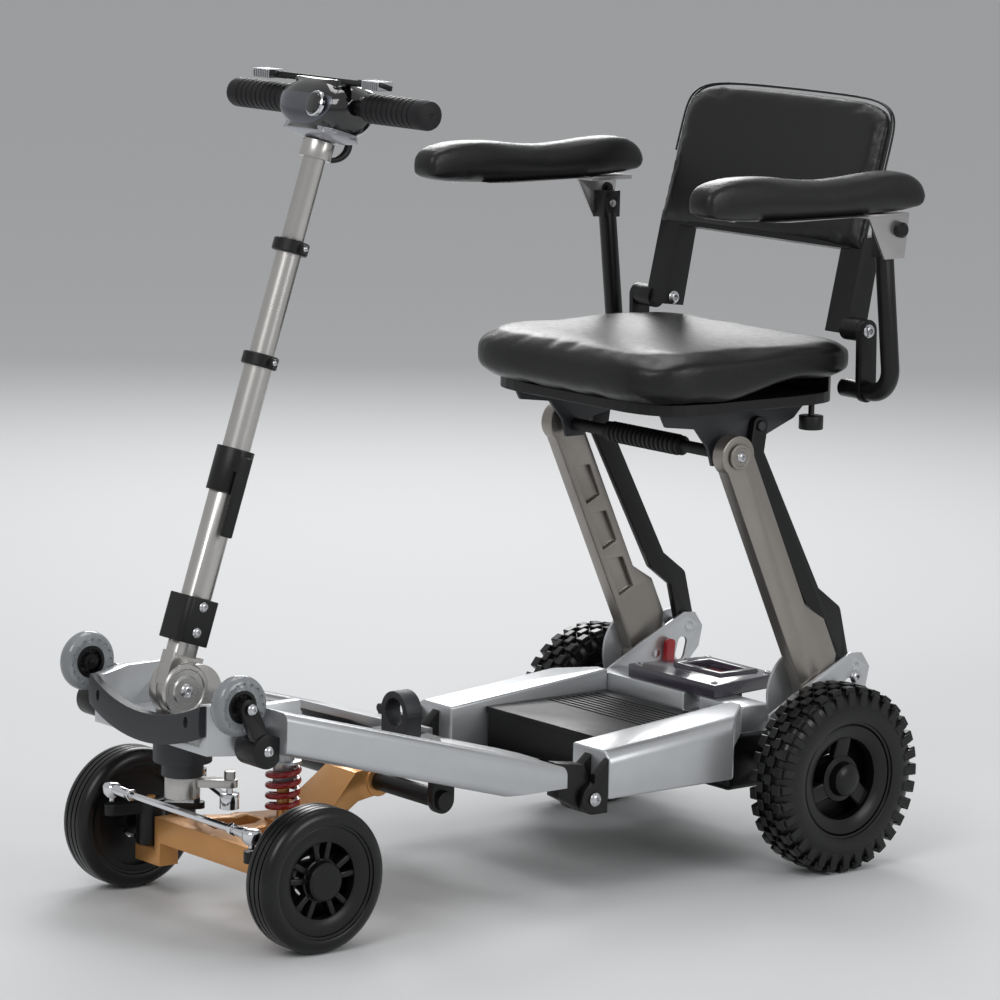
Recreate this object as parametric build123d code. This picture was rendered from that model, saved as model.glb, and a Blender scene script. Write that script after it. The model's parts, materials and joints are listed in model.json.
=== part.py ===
from build123d import *
from math import cos, radians, sin
import os

# Folding four-wheel mobility scooter, millimetres. +X is the rider's left, -Y is
# the front, +Z is up, and the floor is z = 0.
os.makedirs("parts", exist_ok=True)

# ---- driving dimensions ------------------------------------------------------
running = 0.05            # radial clearance of a pin or tube in its bore
gap = 0.3                 # clearance between pieces that move past each other
side_gap = 0.5            # sideways clearance of a lever between its plates

front_wheel_r = 90        # front wheels
front_tyre_w = 50
front_rim_r = 68
front_hub_r = 22
front_axle_y = -390
front_wheel_x = 197
front_axle_r = 8

rear_wheel_r = 124        # rear wheels
rear_tyre_w = 62
rear_rim_r = 74
rear_hub_r = 24
rear_axle_y = 416
rear_wheel_x = 240.5
rear_axle_r = 10

kick_wheel_r = 37.5       # small transport wheels on the nose
kick_wheel_w = 24
kick_hub_r = 20
kick_pin_r = 4
kick_x = 162
kick_y = -481
kick_z = 306
kick_arm_y = -455
kick_arm_z = 252
kick_arm_x1 = 190

rail_out = 205            # front side rails
rail_in = 150
rail_front_y = -440
rail_back_y = -5
rail_top_z = 299          # at the front end
rail_height = 50
rail_slope = 15.3         # degrees down towards the middle hinge
rail_floor_z = 154
deck_in = 70              # inner edge of the foot deck plates
bridge_y0, bridge_y1 = -140, -70  # plate between the deck plates
bridge_z = 172
bridge_t = 10
ring_y0 = -123            # clamp that holds the folded column
ring_w = 24
ring_z = 228
ring_in = 18
ring_out = 27
clamp_half = 48
jaw_r = 6
jaw_pin_r = 2.5

nose_y0 = -497            # nose casting
nose_half = 120
nose_z0 = 238
nose_z1 = 300
nose_t = 10
bumper_h = 38             # bumper's height at its ends
bumper_t = 16
bumper_dip = 27
head_z0 = 187

rear_rail_in = 125        # rear side rails
rear_rail_out = 200
rear_rail_y0 = 68
rear_rail_y1 = 276
rear_rail_y2 = 336
rear_rail_z0 = 129
rear_rail_z1 = 190
rear_rail_z2 = 213
rail_wall = 6

hinge_y = 46              # hinge that joins front and rear halves
hinge_z = 132
hinge_r = 20
hinge_pin_r = 6
hinge_x0, hinge_x1 = 165, 188     # the front half's lug, between two of the rear half's

beam_y0 = 336             # rear cross beam
beam_y1 = 385
beam_z0 = 172
beam_z1 = 208
gear_half = 110           # gear case over the rear axle
motor_r = 34

battery_w = 244
battery_y0 = 125
battery_y1 = 330
battery_z0 = rear_rail_z0
battery_z1 = 178
lid_t = 8
tray_t = 6
tray_flange = 8           # the tray's edges carry the rails' inner walls

plate_t = 4               # seat post side plates
plate_in = 146
plate_out = 185
link_x = 151              # rear link, between the plates
link_t = 10
arm_x = 163               # seat arm
arm_t = 21
post_pin_r = 6
disc_r = 62
lever_pin_y, lever_pin_z = 455, 196
lever_pin_r = 3

cover_half = 88           # smoked cover over the latch
cover_t = 18
window_half = 36
window_y0, window_y1 = 396, 440
foot_y, foot_z = 440, 219         # lower pivot of the seat arm
back_foot_y, back_foot_z = 497, 252
arm_reach_y, arm_reach_z = -156, 329   # from lower pivot to upper pivot
arm_half = 24

casting_pivot_y = -168    # front axle casting
casting_pivot_z = 151
pivot_tube_r = 12
pivot_tube_x = 168
boss_r = 20
boss_half = 32
beam_half = 99
beam_y = -400
kingpin_x = 140
kingpin_y = -398
kingpin_r = 6
fork_z0, fork_z1 = 47, 67         # the casting's ledge under each knuckle
beam_top_z = 112          # top of the casting under the spring
lever_r = 10              # half width of a steering lever
stud_r = 4
knuckle_r = 18
arm_z = 122               # top of the steering arms
tie_x, tie_y = 10, -52    # ball stud, from its kingpin
tie_z = 141
tie_r = 4.5
drag_x, drag_y = 38, 44   # drag link stud, from its turning axis
drag_z = 157
shock_y = -295
shock_r = 13.5
tower_z = 214             # the bar that the spring's tube hangs from
hanger_x = 152
spring_r = 19
spring_wire_r = 4
spring_z0 = 116
spring_z1 = 184

steer_y = -448            # steering axis
stem_r = 15
head_r = 36.5
fold_y, fold_z = -445, 293        # column fold pivot
column_foot_y, column_foot_z = -465, 299.4
column_lean = 17.7        # degrees back from upright
fold_hub_r = 35
ear_r = 36
ear_in = 12
ear_out = 26

lower_tube_r = 19         # telescopic column, s is the distance along it
mid_tube_r = 17.5
upper_tube_r = 15.8
top_tube_r = 14.2
tube_wall = 1.6
lower_s0, lower_s1 = 40, 300
sleeve_s0, sleeve_s1 = 56, 113
clamp_s0, clamp_s1 = 245, 300
mid_s0, mid_s1 = 200, 404
upper_s0, upper_s1 = 370, 548
top_s0, top_s1 = 510, 690
ring_h = 16
ring_r = 22.5
collar_s0 = 668
collar_r = 20
bar_s = 739
bar_y = 3
bar_r = 11
bar_half = 198
grip_r = 18.5
grip_x0, grip_x1 = 80, 200
console_half = 70
console_depth = 72
console_s1 = 771
lever_s = 763
lever_y = -20

seat_half = 212           # seat
seat_y0, seat_y1 = 113, 492
seat_z0, seat_z1 = 641, 688
seat_low_z = 620
pan_half = 185
pan_z0 = 606
lift_r = 14
knob_x, knob_y = 170, 420
knob_r = 16
bracket_t = 6
tube_x = 275              # armrest tubes
tube_y = 462
tube_z = 626
tube_r = 12
rest_y, rest_z = 440, 825         # armrest pivot
rest_x0, rest_x1 = 250, 306
rest_pin_r = 5
rest_reach = 324          # from the armrest's pivot to its front end
back_y, back_z = 460, 704         # backrest pivot
back_half = 197
back_t = 22
back_lean = 15.4
back_h = 207
window_top_y, window_top_z = 470, 805
leg_in, leg_out = 160, 200

# The object is centred on its plan, so that its origin is under its middle.
front_reach = kick_y - kick_wheel_r
back_reach = window_top_y + back_h * sin(radians(back_lean)) + back_t * cos(radians(back_lean))
rear_reach = max(rear_axle_y + rear_wheel_r, back_reach)
centre = Pos(0, -(front_reach + rear_reach) / 2, 0)


# ---- helpers -----------------------------------------------------------------
def block(x0, x1, y0, y1, z0, z1):
    """A box between six planes."""
    size = (abs(x1 - x0), abs(y1 - y0), abs(z1 - z0))
    return Pos((x0 + x1) / 2, (y0 + y1) / 2, (z0 + z1) / 2) * Box(*size)


def pin_x(r, x0, x1, y, z):
    """A round bar along X."""
    return Pos((x0 + x1) / 2, y, z) * Rot(0, 90, 0) * Cylinder(r, abs(x1 - x0))


def pin_y(r, y0, y1, x, z):
    """A round bar along Y."""
    return Pos(x, (y0 + y1) / 2, z) * Rot(90, 0, 0) * Cylinder(r, abs(y1 - y0))


def pin_z(r, z0, z1, x, y):
    """A round bar along Z."""
    return Pos(x, y, (z0 + z1) / 2) * Cylinder(r, abs(z1 - z0))


def side_plate(x0, x1, points):
    """A plate across X, from an outline of (y, z) points."""
    face = make_face(Plane.YZ * Polyline(*points, close=True))
    return Pos(min(x0, x1), 0, 0) * extrude(face, abs(x1 - x0), dir=(1, 0, 0))


def flat_plate(z0, z1, points):
    """A plate across Z, from an outline of (x, y) points."""
    face = make_face(Polyline(*points, close=True))
    return Pos(0, 0, z0) * extrude(face, z1 - z0, dir=(0, 0, 1))


def bar_between(a, b, r):
    """A round bar from one point to another."""
    a, b = Vector(*a), Vector(*b)
    return Plane(origin=a, z_dir=b - a) * extrude(Circle(r), (b - a).length)


def slant_link(x0, x1, a, b, r):
    """A flat lever across X with two round ends, between two (y, z) points."""
    (ay, az), (by, bz) = a, b
    length = ((by - ay) ** 2 + (bz - az) ** 2) ** 0.5
    ny, nz = -(bz - az) / length * r, (by - ay) / length * r
    web = side_plate(x0, x1, [(ay + ny, az + nz), (by + ny, bz + nz),
                              (by - ny, bz - nz), (ay - ny, az - nz)])
    return web + pin_x(r, x0, x1, ay, az) + pin_x(r, x0, x1, by, bz)


def flip(shape):
    """The same piece on the other side of the scooter."""
    return mirror(shape, about=Plane.YZ)


def keep(name, *shapes):
    """Write one piece, or one group of like pieces, to its own file."""
    solids = [s for shape in shapes for s in (centre * shape).solids()]
    whole = solids[0] if len(solids) == 1 else Compound(children=solids)
    export_step(whole, f"parts/{name}.step")


column = Plane(
    origin=(0, column_foot_y, column_foot_z),
    x_dir=(1, 0, 0),
    z_dir=Vector(0, 0, 1).rotate(Axis.X, -column_lean),
)


def along(r, s0, s1, x=0, y=0):
    """A round bar along the column."""
    return column * Pos(x, y, (s0 + s1) / 2) * Cylinder(r, s1 - s0)


def column_block(x0, x1, y0, y1, s0, s1):
    """A box squared to the column."""
    size = (x1 - x0, y1 - y0, s1 - s0)
    return column * Pos((x0 + x1) / 2, (y0 + y1) / 2, (s0 + s1) / 2) * Box(*size)


# ---- wheels ------------------------------------------------------------------
def tyre(r, bore, w, x, y, grooves):
    """A solid tyre with a round shoulder and grooves round its tread."""
    shoulder = w * 0.28
    ring = fillet(Cylinder(r, w).edges(), shoulder) - Cylinder(bore, w)
    for offset in grooves:
        ring -= Pos(0, 0, offset) * (Cylinder(r + 1, 2) - Cylinder(r - 2, 2))
    return Pos(x, y, r) * Rot(0, 90, 0) * ring


def rim(r, w, hub_r, bore, x, y, wheel_r, spokes, width):
    """A rim with a hub and open spokes, turning on its axle."""
    web_t = w * 0.35
    body = Cylinder(r, w) - Cylinder(r - 8, w) + Cylinder(r, web_t)
    body += Cylinder(hub_r, w)
    for k in range(spokes):
        turn = Rot(0, 0, 360 / spokes * k)
        window = Pos((hub_r + r) / 2, 0) * RectangleRounded(r - hub_r - 22, width, 4)
        body -= turn * extrude(window, web_t, both=True)
    body -= Cylinder(bore, w)
    return Pos(x, y, wheel_r) * Rot(0, 90, 0) * body


for side, x in (("left", 1), ("right", -1)):
    wx = x * front_wheel_x
    keep(
        f"front_tyre_{side}",
        tyre(front_wheel_r, front_rim_r, front_tyre_w, wx, front_axle_y, (-10, 0, 10)),
    )
    keep(
        f"front_rim_{side}",
        rim(front_rim_r, front_tyre_w - 6, front_hub_r, front_axle_r + running,
            wx, front_axle_y, front_wheel_r, 5, 26),
    )
    wx = x * rear_wheel_x
    keep(
        f"rear_tyre_{side}",
        tyre(rear_wheel_r, rear_rim_r, rear_tyre_w, wx, rear_axle_y, (-16, 0, 16)),
    )
    keep(
        f"rear_rim_{side}",
        rim(rear_rim_r, rear_tyre_w - 8, rear_hub_r, rear_axle_r + running,
            wx, rear_axle_y, rear_wheel_r, 3, 40),
    )
    soft = fillet(Cylinder(kick_wheel_r, kick_wheel_w).edges(), 6)
    soft -= Cylinder(kick_hub_r, kick_wheel_w)
    hub = Cylinder(kick_hub_r, kick_wheel_w - 2) - Cylinder(kick_pin_r + running, kick_wheel_w)
    place = Pos(x * kick_x, kick_y, kick_z) * Rot(0, 90, 0)
    keep(f"kick_wheel_{side}", place * soft, place * hub)

# ---- rear half ---------------------------------------------------------------
rail_plan = flat_plate(
    rear_rail_z0 - 5, rear_rail_z2 + 5,
    [(rear_rail_in, rear_rail_y0), (rear_rail_out, rear_rail_y0), (rear_rail_out, rear_rail_y1),
     (plate_in - gap, rear_rail_y2), (rear_rail_in, rear_rail_y2)],
)
rail_side = side_plate(
    rear_rail_in, rear_rail_out,
    [(rear_rail_y0, rear_rail_z0), (rear_rail_y0, rear_rail_z1),
     (rear_rail_y2, rear_rail_z2), (rear_rail_y2, rear_rail_z0)],
)
crown = [e for e in rail_side.edges().filter_by(GeomType.LINE)
         if e.center().X > rear_rail_out - 1 and e.center().Z > rear_rail_z1]
rear_rail = fillet(crown, 18) & rail_plan
rear_rail -= block(rear_rail_in + rail_wall + 2, rear_rail_out - rail_wall, rear_rail_y0 + 30,
                   rear_rail_y2, rear_rail_z0, rear_rail_z0 + 40)
lug_bands = ((hinge_x0 - 15, hinge_x0 - 1), (hinge_x1 + 1, hinge_x1 + 10))
rear_lugs = [
    side_plate(x0, x1, [(hinge_y, hinge_z - hinge_r), (rear_rail_y0, hinge_z - hinge_r),
                        (rear_rail_y0, rear_rail_z1 - 8), (hinge_y, hinge_z + hinge_r + 12)])
    + pin_x(hinge_r, x0, x1, hinge_y, hinge_z) - pin_x(hinge_pin_r, x0, x1, hinge_y, hinge_z)
    for x0, x1 in lug_bands
]
hinge_pin = pin_x(hinge_pin_r, hinge_x0 - 15, hinge_x1 + 12, hinge_y, hinge_z)
keep("rear_rails", rear_rail, flip(rear_rail))
keep("rear_hinge_lugs", *rear_lugs, *[flip(lug) for lug in rear_lugs])

tray_half = rear_rail_in + tray_flange
tray = block(-tray_half, tray_half, rear_rail_y0, beam_y0, battery_z0 - tray_t, battery_z0)
keep("battery_tray", tray)
half = battery_w / 2
case = block(-half, half, battery_y0, battery_y1, battery_z0, battery_z1)
lid = block(-half, half, battery_y0, battery_y1, battery_z1, battery_z1 + lid_t)
rib_y0 = battery_y0 + 95
for k in range(9):
    lid -= block(-half + 10, half - 10, rib_y0 + 10 * k, rib_y0 + 10 * k + 5,
                 battery_z1 + lid_t - 2, battery_z1 + lid_t)
keep("battery_pack", fillet(case.edges().filter_by(Axis.Z), 6), lid)

beam = block(-plate_in, plate_in, beam_y0, beam_y1, beam_z0, beam_z1)
beam -= block(30, 62, beam_y0, beam_y1, beam_z0 + 12, beam_z1)
gear_y1, gear_z1 = rear_axle_y + 46, rear_wheel_r + 40
for x in (-90, 66):
    beam += block(x, x + 24, beam_y0 + 12, beam_y1, gear_z1, beam_z0)
keep("rear_cross_beam", beam)

gear = block(-gear_half, gear_half, beam_y0 + 12, gear_y1, rear_wheel_r - 38, gear_z1)
gear = fillet(gear.edges(), 10)
gear -= pin_x(rear_axle_r, -gear_half, gear_half, rear_axle_y, rear_wheel_r)
motor = pin_x(motor_r, 20, 96, gear_y1 + motor_r - 8, rear_wheel_r + 6)
motor &= block(20, 96, gear_y1, gear_y1 + 2 * motor_r, 0, 2 * rear_wheel_r)
axle_half = rear_wheel_x + rear_tyre_w / 2 + 0.5
axle = pin_x(rear_axle_r, -axle_half, axle_half, rear_axle_y, rear_wheel_r)

pin_holes = [(foot_y, foot_z), (back_foot_y, back_foot_z)]


def post_plate(x0):
    """The seat post's side plate, with a slot between its two pivot bolts."""
    web = side_plate(x0, x0 + plate_t, [
        (beam_y0 + 12, beam_z0 + 4), (beam_y0 + 12, beam_z1 - 4), (foot_y - 22, foot_z + 21),
        (back_foot_y - 9, back_foot_z + 20), (back_foot_y + 11, back_foot_z + 18),
        (back_foot_y + 25, back_foot_z - 2), (back_foot_y + 19, back_foot_z - 30),
        (foot_y + 30, beam_z0 + 4)])
    for y, z in pin_holes:
        web -= pin_x(post_pin_r, x0, x0 + plate_t, y, z)
    slot = ((foot_y + 42, foot_z - 5), (foot_y + 46, foot_z + 11))
    return web - slant_link(x0, x0 + plate_t, *slot, 8)


def post_disc(x0):
    """The round side plate that carries the seat arm's pivot bolt."""
    disc = pin_x(disc_r, x0, x0 + plate_t, foot_y, foot_z)
    disc += side_plate(x0, x0 + plate_t, [
        (foot_y, foot_z - 29), (foot_y, foot_z + 43), (back_foot_y + 3, back_foot_z + 18),
        (back_foot_y + 18, back_foot_z - 2), (foot_y + 50, foot_z - 29)])
    for y, z in pin_holes:
        disc -= pin_x(post_pin_r, x0, x0 + plate_t, y, z)
    return disc


keep("post_plates", post_plate(plate_out), post_plate(-plate_in - plate_t),
     post_disc(plate_in), post_disc(-plate_out - plate_t))
post_pins = [pin_x(post_pin_r, x0, x0 + plate_out + plate_t - plate_in, y, z)
             for x0 in (plate_in, -plate_out - plate_t) for y, z in pin_holes]

cover_y1 = rear_axle_y + 50
cover_z1 = beam_z1 + cover_t
cover = flat_plate(beam_z1, cover_z1, [
    (-cover_half, beam_y0 + 4), (cover_half, beam_y0 + 4), (cover_half - 18, cover_y1),
    (18 - cover_half, cover_y1)])
cover -= block(18 - cover_half, cover_half - 18, beam_y1 + 2, cover_y1 - 11, beam_z1, cover_z1 - 6)
cover += block(-48, 48, beam_y1, cover_y1 - 14, cover_z1, cover_z1 + 4)
cover -= block(-window_half, window_half, window_y0, window_y1, cover_z1 - 6, cover_z1 + 4)
keep("cover_plate", cover)
latch = block(2 - window_half, window_half - 2, window_y0 + 2, window_y1 - 2, gear_z1, beam_z1 + 8)
keep("drive_unit", gear, motor, axle, latch)
lever_x0 = 2 - plate_in
lever = slant_link(lever_x0, lever_x0 + 8, (lever_pin_y, lever_pin_z),
                   (lever_pin_y + 3, lever_pin_z + 36), 7)
lever -= pin_x(lever_pin_r + running, lever_x0, lever_x0 + 8, lever_pin_y, lever_pin_z)
keep("release_lever", lever)
release_pin = pin_x(lever_pin_r, -plate_in, lever_x0 + 10, lever_pin_y, lever_pin_z)
keep("rear_pins", hinge_pin, flip(hinge_pin), release_pin, *post_pins)

# ---- seat linkage ------------------------------------------------------------
top_y, top_z = foot_y + arm_reach_y, foot_z + arm_reach_z
back_top_y, back_top_z = back_foot_y + arm_reach_y, back_foot_z + arm_reach_z


def on_arm(share, offset):
    """A point at a share of the arm's length, offset square to the arm."""
    length = (arm_reach_y ** 2 + arm_reach_z ** 2) ** 0.5
    ny, nz = arm_reach_z / length * offset, -arm_reach_y / length * offset
    return (foot_y + arm_reach_y * share + ny, foot_z + arm_reach_z * share + nz)


arm = side_plate(arm_x, arm_x + arm_t, [
    on_arm(0, -arm_half), on_arm(1, -arm_half), on_arm(1, arm_half), on_arm(0.34, arm_half),
    on_arm(0.25, arm_half + 22), on_arm(0.1, arm_half + 22), on_arm(0, arm_half)])
arm += pin_x(30, arm_x, arm_x + arm_t, foot_y, foot_z)
arm += pin_x(27, arm_x, arm_x + arm_t, top_y, top_z)
for share in (0.34, 0.54, 0.74):
    pocket = [on_arm(share - 0.07, -13), on_arm(share + 0.09, -13),
              on_arm(share + 0.06, 12), on_arm(share - 0.07, 12)]
    arm -= side_plate(arm_x, arm_x + 8, pocket)
arm -= pin_x(post_pin_r + running, arm_x, arm_x + arm_t, foot_y, foot_z)
arm += pin_x(post_pin_r, link_x, arm_x + arm_t + 3, top_y, top_z)
keep("seat_arms", arm, flip(arm))

kink = (back_foot_y - 18, back_foot_z + 68)
bend = (back_foot_y - 56, back_foot_z + 96)
crook = (back_top_y - 6, back_top_z - 40)
link = slant_link(link_x, link_x + link_t, (back_foot_y, back_foot_z), kink, 14)
link += slant_link(link_x, link_x + link_t, kink, bend, 14)
link += slant_link(link_x, link_x + link_t, bend, crook, 14)
link += slant_link(link_x, link_x + link_t, crook, (back_top_y, back_top_z), 12)
link -= pin_x(post_pin_r + running, link_x, link_x + link_t, back_foot_y, back_foot_z)
link -= pin_x(post_pin_r + 1, link_x, link_x + link_t, back_top_y, back_top_z)
keep("seat_links", link, flip(link))

# ---- seat --------------------------------------------------------------------
bracket_x = link_x - 1 - bracket_t
bracket = side_plate(bracket_x, bracket_x + bracket_t, [
    (top_y - 104, pan_z0), (top_y - 94, pan_z0 - 18), (top_y - 44, pan_z0 - 24),
    (top_y - 22, top_z + 8), (top_y - 14, top_z - 16), (top_y + 14, top_z - 16),
    (top_y + 28, top_z + 8), (back_top_y + 18, back_top_z - 15), (back_top_y + 67, pan_z0 - 21),
    (back_top_y + 89, pan_z0)])
bracket -= pin_x(post_pin_r + running, bracket_x, bracket_x + bracket_t, top_y, top_z)
stub = pin_x(post_pin_r, bracket_x + bracket_t, link_x + link_t + 3, back_top_y, back_top_z)
bracket += stub
pan_y1 = tube_y + 16
pan = block(-pan_half, pan_half, seat_y0 + 37, pan_y1, pan_z0, seat_low_z)
pan += block(-pan_half, pan_half, tube_y - 17, pan_y1, seat_low_z, seat_z0)
keep("seat_pan", pan)
keep("seat_brackets", bracket, flip(bracket))
cushion = block(-seat_half, seat_half, seat_y0, seat_y1, seat_z0, seat_z1)
cushion = fillet(cushion.edges().filter_by(Axis.Z), 60)
cushion = fillet(cushion.edges().group_by(Axis.Z)[-1], 16)
cushion += block(22 - seat_half, seat_half - 22, seat_y0 + 22, tube_y - 17 - gap, seat_low_z, seat_z0)
keep("seat_cushion", cushion)
grip = pin_x(lift_r, -bracket_x, bracket_x, top_y, top_z)
keep("lift_handle", grip)
knob = pin_z(knob_r, pan_z0 - 34, pan_z0 - 16, knob_x, knob_y)
knob += pin_z(4, pan_z0 - 16, pan_z0, knob_x, knob_y)
keep("seat_knob", knob)

route = FilletPolyline((tube_x, rest_y, rest_z - 13), (tube_x, tube_y, tube_z),
                       (pan_half, tube_y, tube_z), radius=36)
rest_tube = sweep(Plane(origin=route @ 0, z_dir=route % 0) * Circle(tube_r), path=route)
rest_tube += block(tube_x - 10, tube_x + 10, rest_y - 14, rest_y + 14, rest_z - 19, rest_z + 17)
rest_tube -= pin_x(rest_pin_r + running, tube_x - 10, tube_x + 10, rest_y, rest_z)
pad_y0, pad_y1, pad_z = rest_y - rest_reach, rest_y + 54, rest_z + 39
pad = side_plate(rest_x0, rest_x1, [
    (pad_y0 + 2, pad_z + 8), (pad_y0, pad_z + 32), (pad_y0 + 34, pad_z + 52),
    (pad_y0 + 84, pad_z + 57), (rest_y - 180, pad_z + 48), (rest_y - 124, pad_z + 42),
    (rest_y - 60, pad_z + 47), (rest_y - 10, pad_z + 54), (pad_y1 - 24, pad_z + 49),
    (pad_y1, pad_z + 28), (pad_y1 - 4, pad_z + 6), (rest_y, pad_z), (rest_y - 190, pad_z - 2),
    (pad_y0 + 34, pad_z + 2)])
pad = fillet(pad.edges().filter_by(Axis.X), 5)
plate_x = tube_x + tube_r + side_gap
rest_plate = side_plate(plate_x, plate_x + plate_t, [
    (rest_y - 14, rest_z - 20), (rest_y + 20, rest_z - 20), (rest_y + 26, pad_z - 2),
    (rest_y - 45, pad_z - 2)])
rest_plate += block(rest_x0 + 6, plate_x + plate_t, rest_y - 45, rest_y + 26, pad_z - 6, pad_z + 2)
rest_plate += pin_x(rest_pin_r, tube_x - 12, plate_x + plate_t, rest_y, rest_z)
pad -= block(rest_x0, rest_x1, rest_y - 45, rest_y + 30, pad_z - 9, pad_z + 2)
keep("armrest_left", pad, rest_plate)
keep("armrest_right", flip(pad), flip(rest_plate))

lean = Plane(origin=(0, window_top_y, window_top_z), x_dir=(1, 0, 0),
             z_dir=Vector(0, 0, 1).rotate(Axis.X, -back_lean))
panel = lean * Pos(0, back_t / 2, back_h / 2) * Box(2 * back_half, back_t, back_h)
panel = fillet(panel.edges().filter_by(Axis((0, 0, 0), (0, lean.y_dir.Y, lean.y_dir.Z))), 28)
leg = side_plate(leg_in, leg_out, [
    (back_y - 12, back_z - 6), (back_y + 22, back_z - 10), (window_top_y + 38, window_top_z + 25),
    (window_top_y + 16, window_top_z + 55), (window_top_y + 4, window_top_z + 10)])
panel += leg
panel += flip(leg)
hub = pin_x(15, leg_out - 10, seat_half + 10, back_y, back_z)
panel += hub
panel += flip(hub)
panel -= pin_x(5 + running, seat_half, seat_half + 10, back_y, back_z)
panel -= pin_x(5 + running, -seat_half - 10, -seat_half, back_y, back_z)
keep("backrest", panel)
ear = slant_link(seat_half + 10 + gap, seat_half + 18, (back_y, back_z), (tube_y, tube_z), 15)
ear += pin_x(5, seat_half, seat_half + 18, back_y, back_z)
ear -= pin_x(tube_r, seat_half + 10, seat_half + 18, tube_y, tube_z)
keep("armrest_tubes", rest_tube, flip(rest_tube), ear, flip(ear))

# ---- front half --------------------------------------------------------------
slope = Plane(
    origin=(0, rail_front_y - 30, rail_top_z + 8),
    x_dir=(1, 0, 0),
    z_dir=Vector(0, 1, 0).rotate(Axis.X, -rail_slope),
)
run = rail_back_y - rail_front_y + 90
section = Pos((rail_in + rail_out) / 2, rail_height / 2) * RectangleRounded(
    rail_out - rail_in, rail_height, 10)
rail = slope * extrude(section, run)
deck = slope * Pos((deck_in + rail_in) / 2 + 10, 5, run / 2) * Box(rail_in - deck_in + 20, 10, run)
deck &= flat_plate(0, 400, [(rail_in + 8, -170), (deck_in + 34, -130), (deck_in, -90),
                            (deck_in, -12), (deck_in + 20, 10), (deck_in + 60, 10), (rail_in + 8, -5)])
rail += deck
rail &= block(-rail_in, rail_out + 1, rail_front_y, 30, rail_floor_z, 400)
rail -= block(rail_in - 20, rail_out + 1, rail_back_y, 40, rail_floor_z, 400)
keep("front_rails", rail, flip(rail))
front_lug = side_plate(hinge_x0, hinge_x1, [
    (rail_back_y, hinge_z + 6), (rail_back_y, hinge_z + 50), (hinge_y - 10, hinge_z + 44),
    (hinge_y, hinge_z + hinge_r), (hinge_y, hinge_z - hinge_r)])
front_lug += pin_x(hinge_r, hinge_x0, hinge_x1, hinge_y, hinge_z)
front_lug -= pin_x(hinge_pin_r + running, hinge_x0, hinge_x1, hinge_y, hinge_z)
keep("front_hinge_lugs", front_lug, flip(front_lug))
bridge = block(-rail_in, rail_in, bridge_y0, bridge_y1, bridge_z, bridge_z + bridge_t)
bridge += block(-deck_in, deck_in, bridge_y1, bridge_y1 + 50, bridge_z, bridge_z + 6)
bridge += block(-clamp_half, clamp_half, ring_y0 - 2, ring_y0 + ring_w + 2,
                bridge_z + bridge_t, bridge_z + bridge_t + 4)
keep("deck_bridge", bridge)

nose_y1 = rail_front_y + 60
nose = flat_plate(nose_z0, nose_z0 + nose_t, [
    (-rail_in, nose_y1), (-rail_in, rail_front_y), (-nose_half, nose_y0), (nose_half, nose_y0),
    (rail_in, rail_front_y), (rail_in, nose_y1)])
for x in (1, -1):
    nose += flat_plate(nose_z0 + nose_t, nose_z1, [
        (x * rail_in, nose_y1), (x * rail_in, rail_front_y), (x * nose_half, nose_y0),
        (x * (nose_half - 16), nose_y0), (x * (nose_half - 12), nose_y0 + 11),
        (x * (rail_in - 14), rail_front_y + 4), (x * (rail_in - 14), nose_y1)])
nose += block(-rail_in, rail_in, nose_y1 - 6, nose_y1 + 2, nose_z0, nose_z1 - 14)
nose -= pin_z(head_r, nose_z0, nose_z0 + nose_t, 0, steer_y)
keep("nose_casting", nose)
head_z1 = nose_z0 + 2
head = pin_z(head_r, head_z0 + 18, head_z1, 0, steer_y)
head += pin_z(head_r - 10.5, head_z0, head_z0 + 18, 0, steer_y)
head += pin_z(head_r + 4, nose_z0 - 4, nose_z0, 0, steer_y)
head -= pin_z(stem_r, head_z0, head_z1, 0, steer_y)
keep("head_tube", head)
bumper_half = nose_half - 2
bumper_end_z = nose_z1 - bumper_h
arc_top = ThreePointArc((-bumper_half, nose_z1), (0, nose_z1 - bumper_dip), (bumper_half, nose_z1))
arc_low = ThreePointArc((bumper_half, bumper_end_z), (0, nose_z0 - 1), (-bumper_half, bumper_end_z))
ends = [Line((bumper_half, nose_z1), (bumper_half, bumper_end_z)),
        Line((-bumper_half, bumper_end_z), (-bumper_half, nose_z1))]
band = make_face(Curve() + [arc_top, ends[0], arc_low, ends[1]])
bumper = Pos(0, nose_y0, 0) * Rot(90, 0, 0) * extrude(band, bumper_t)
keep("bumper", bumper)
wheel_face = kick_x + kick_wheel_w / 2 + 1
horn = slant_link(wheel_face, kick_arm_x1 - 5, (kick_y, kick_z), (kick_arm_y, kick_arm_z), 11)
horn += pin_x(21, rail_in, kick_arm_x1, kick_arm_y - 2, kick_arm_z)
horn += block(rail_in, kick_arm_x1, kick_arm_y, rail_front_y, kick_arm_z - 2, kick_arm_z + 16)
horn &= block(rail_in, kick_arm_x1, 2 * kick_y, rail_front_y, 0, kick_z + kick_wheel_r)
horn -= pin_x(kick_wheel_r + 2, rail_in, wheel_face, kick_y, kick_z)
horn += pin_x(kick_pin_r, kick_x - kick_wheel_w / 2, kick_arm_x1 - 2, kick_y, kick_z)
keep("kick_arms", horn, flip(horn))

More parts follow.
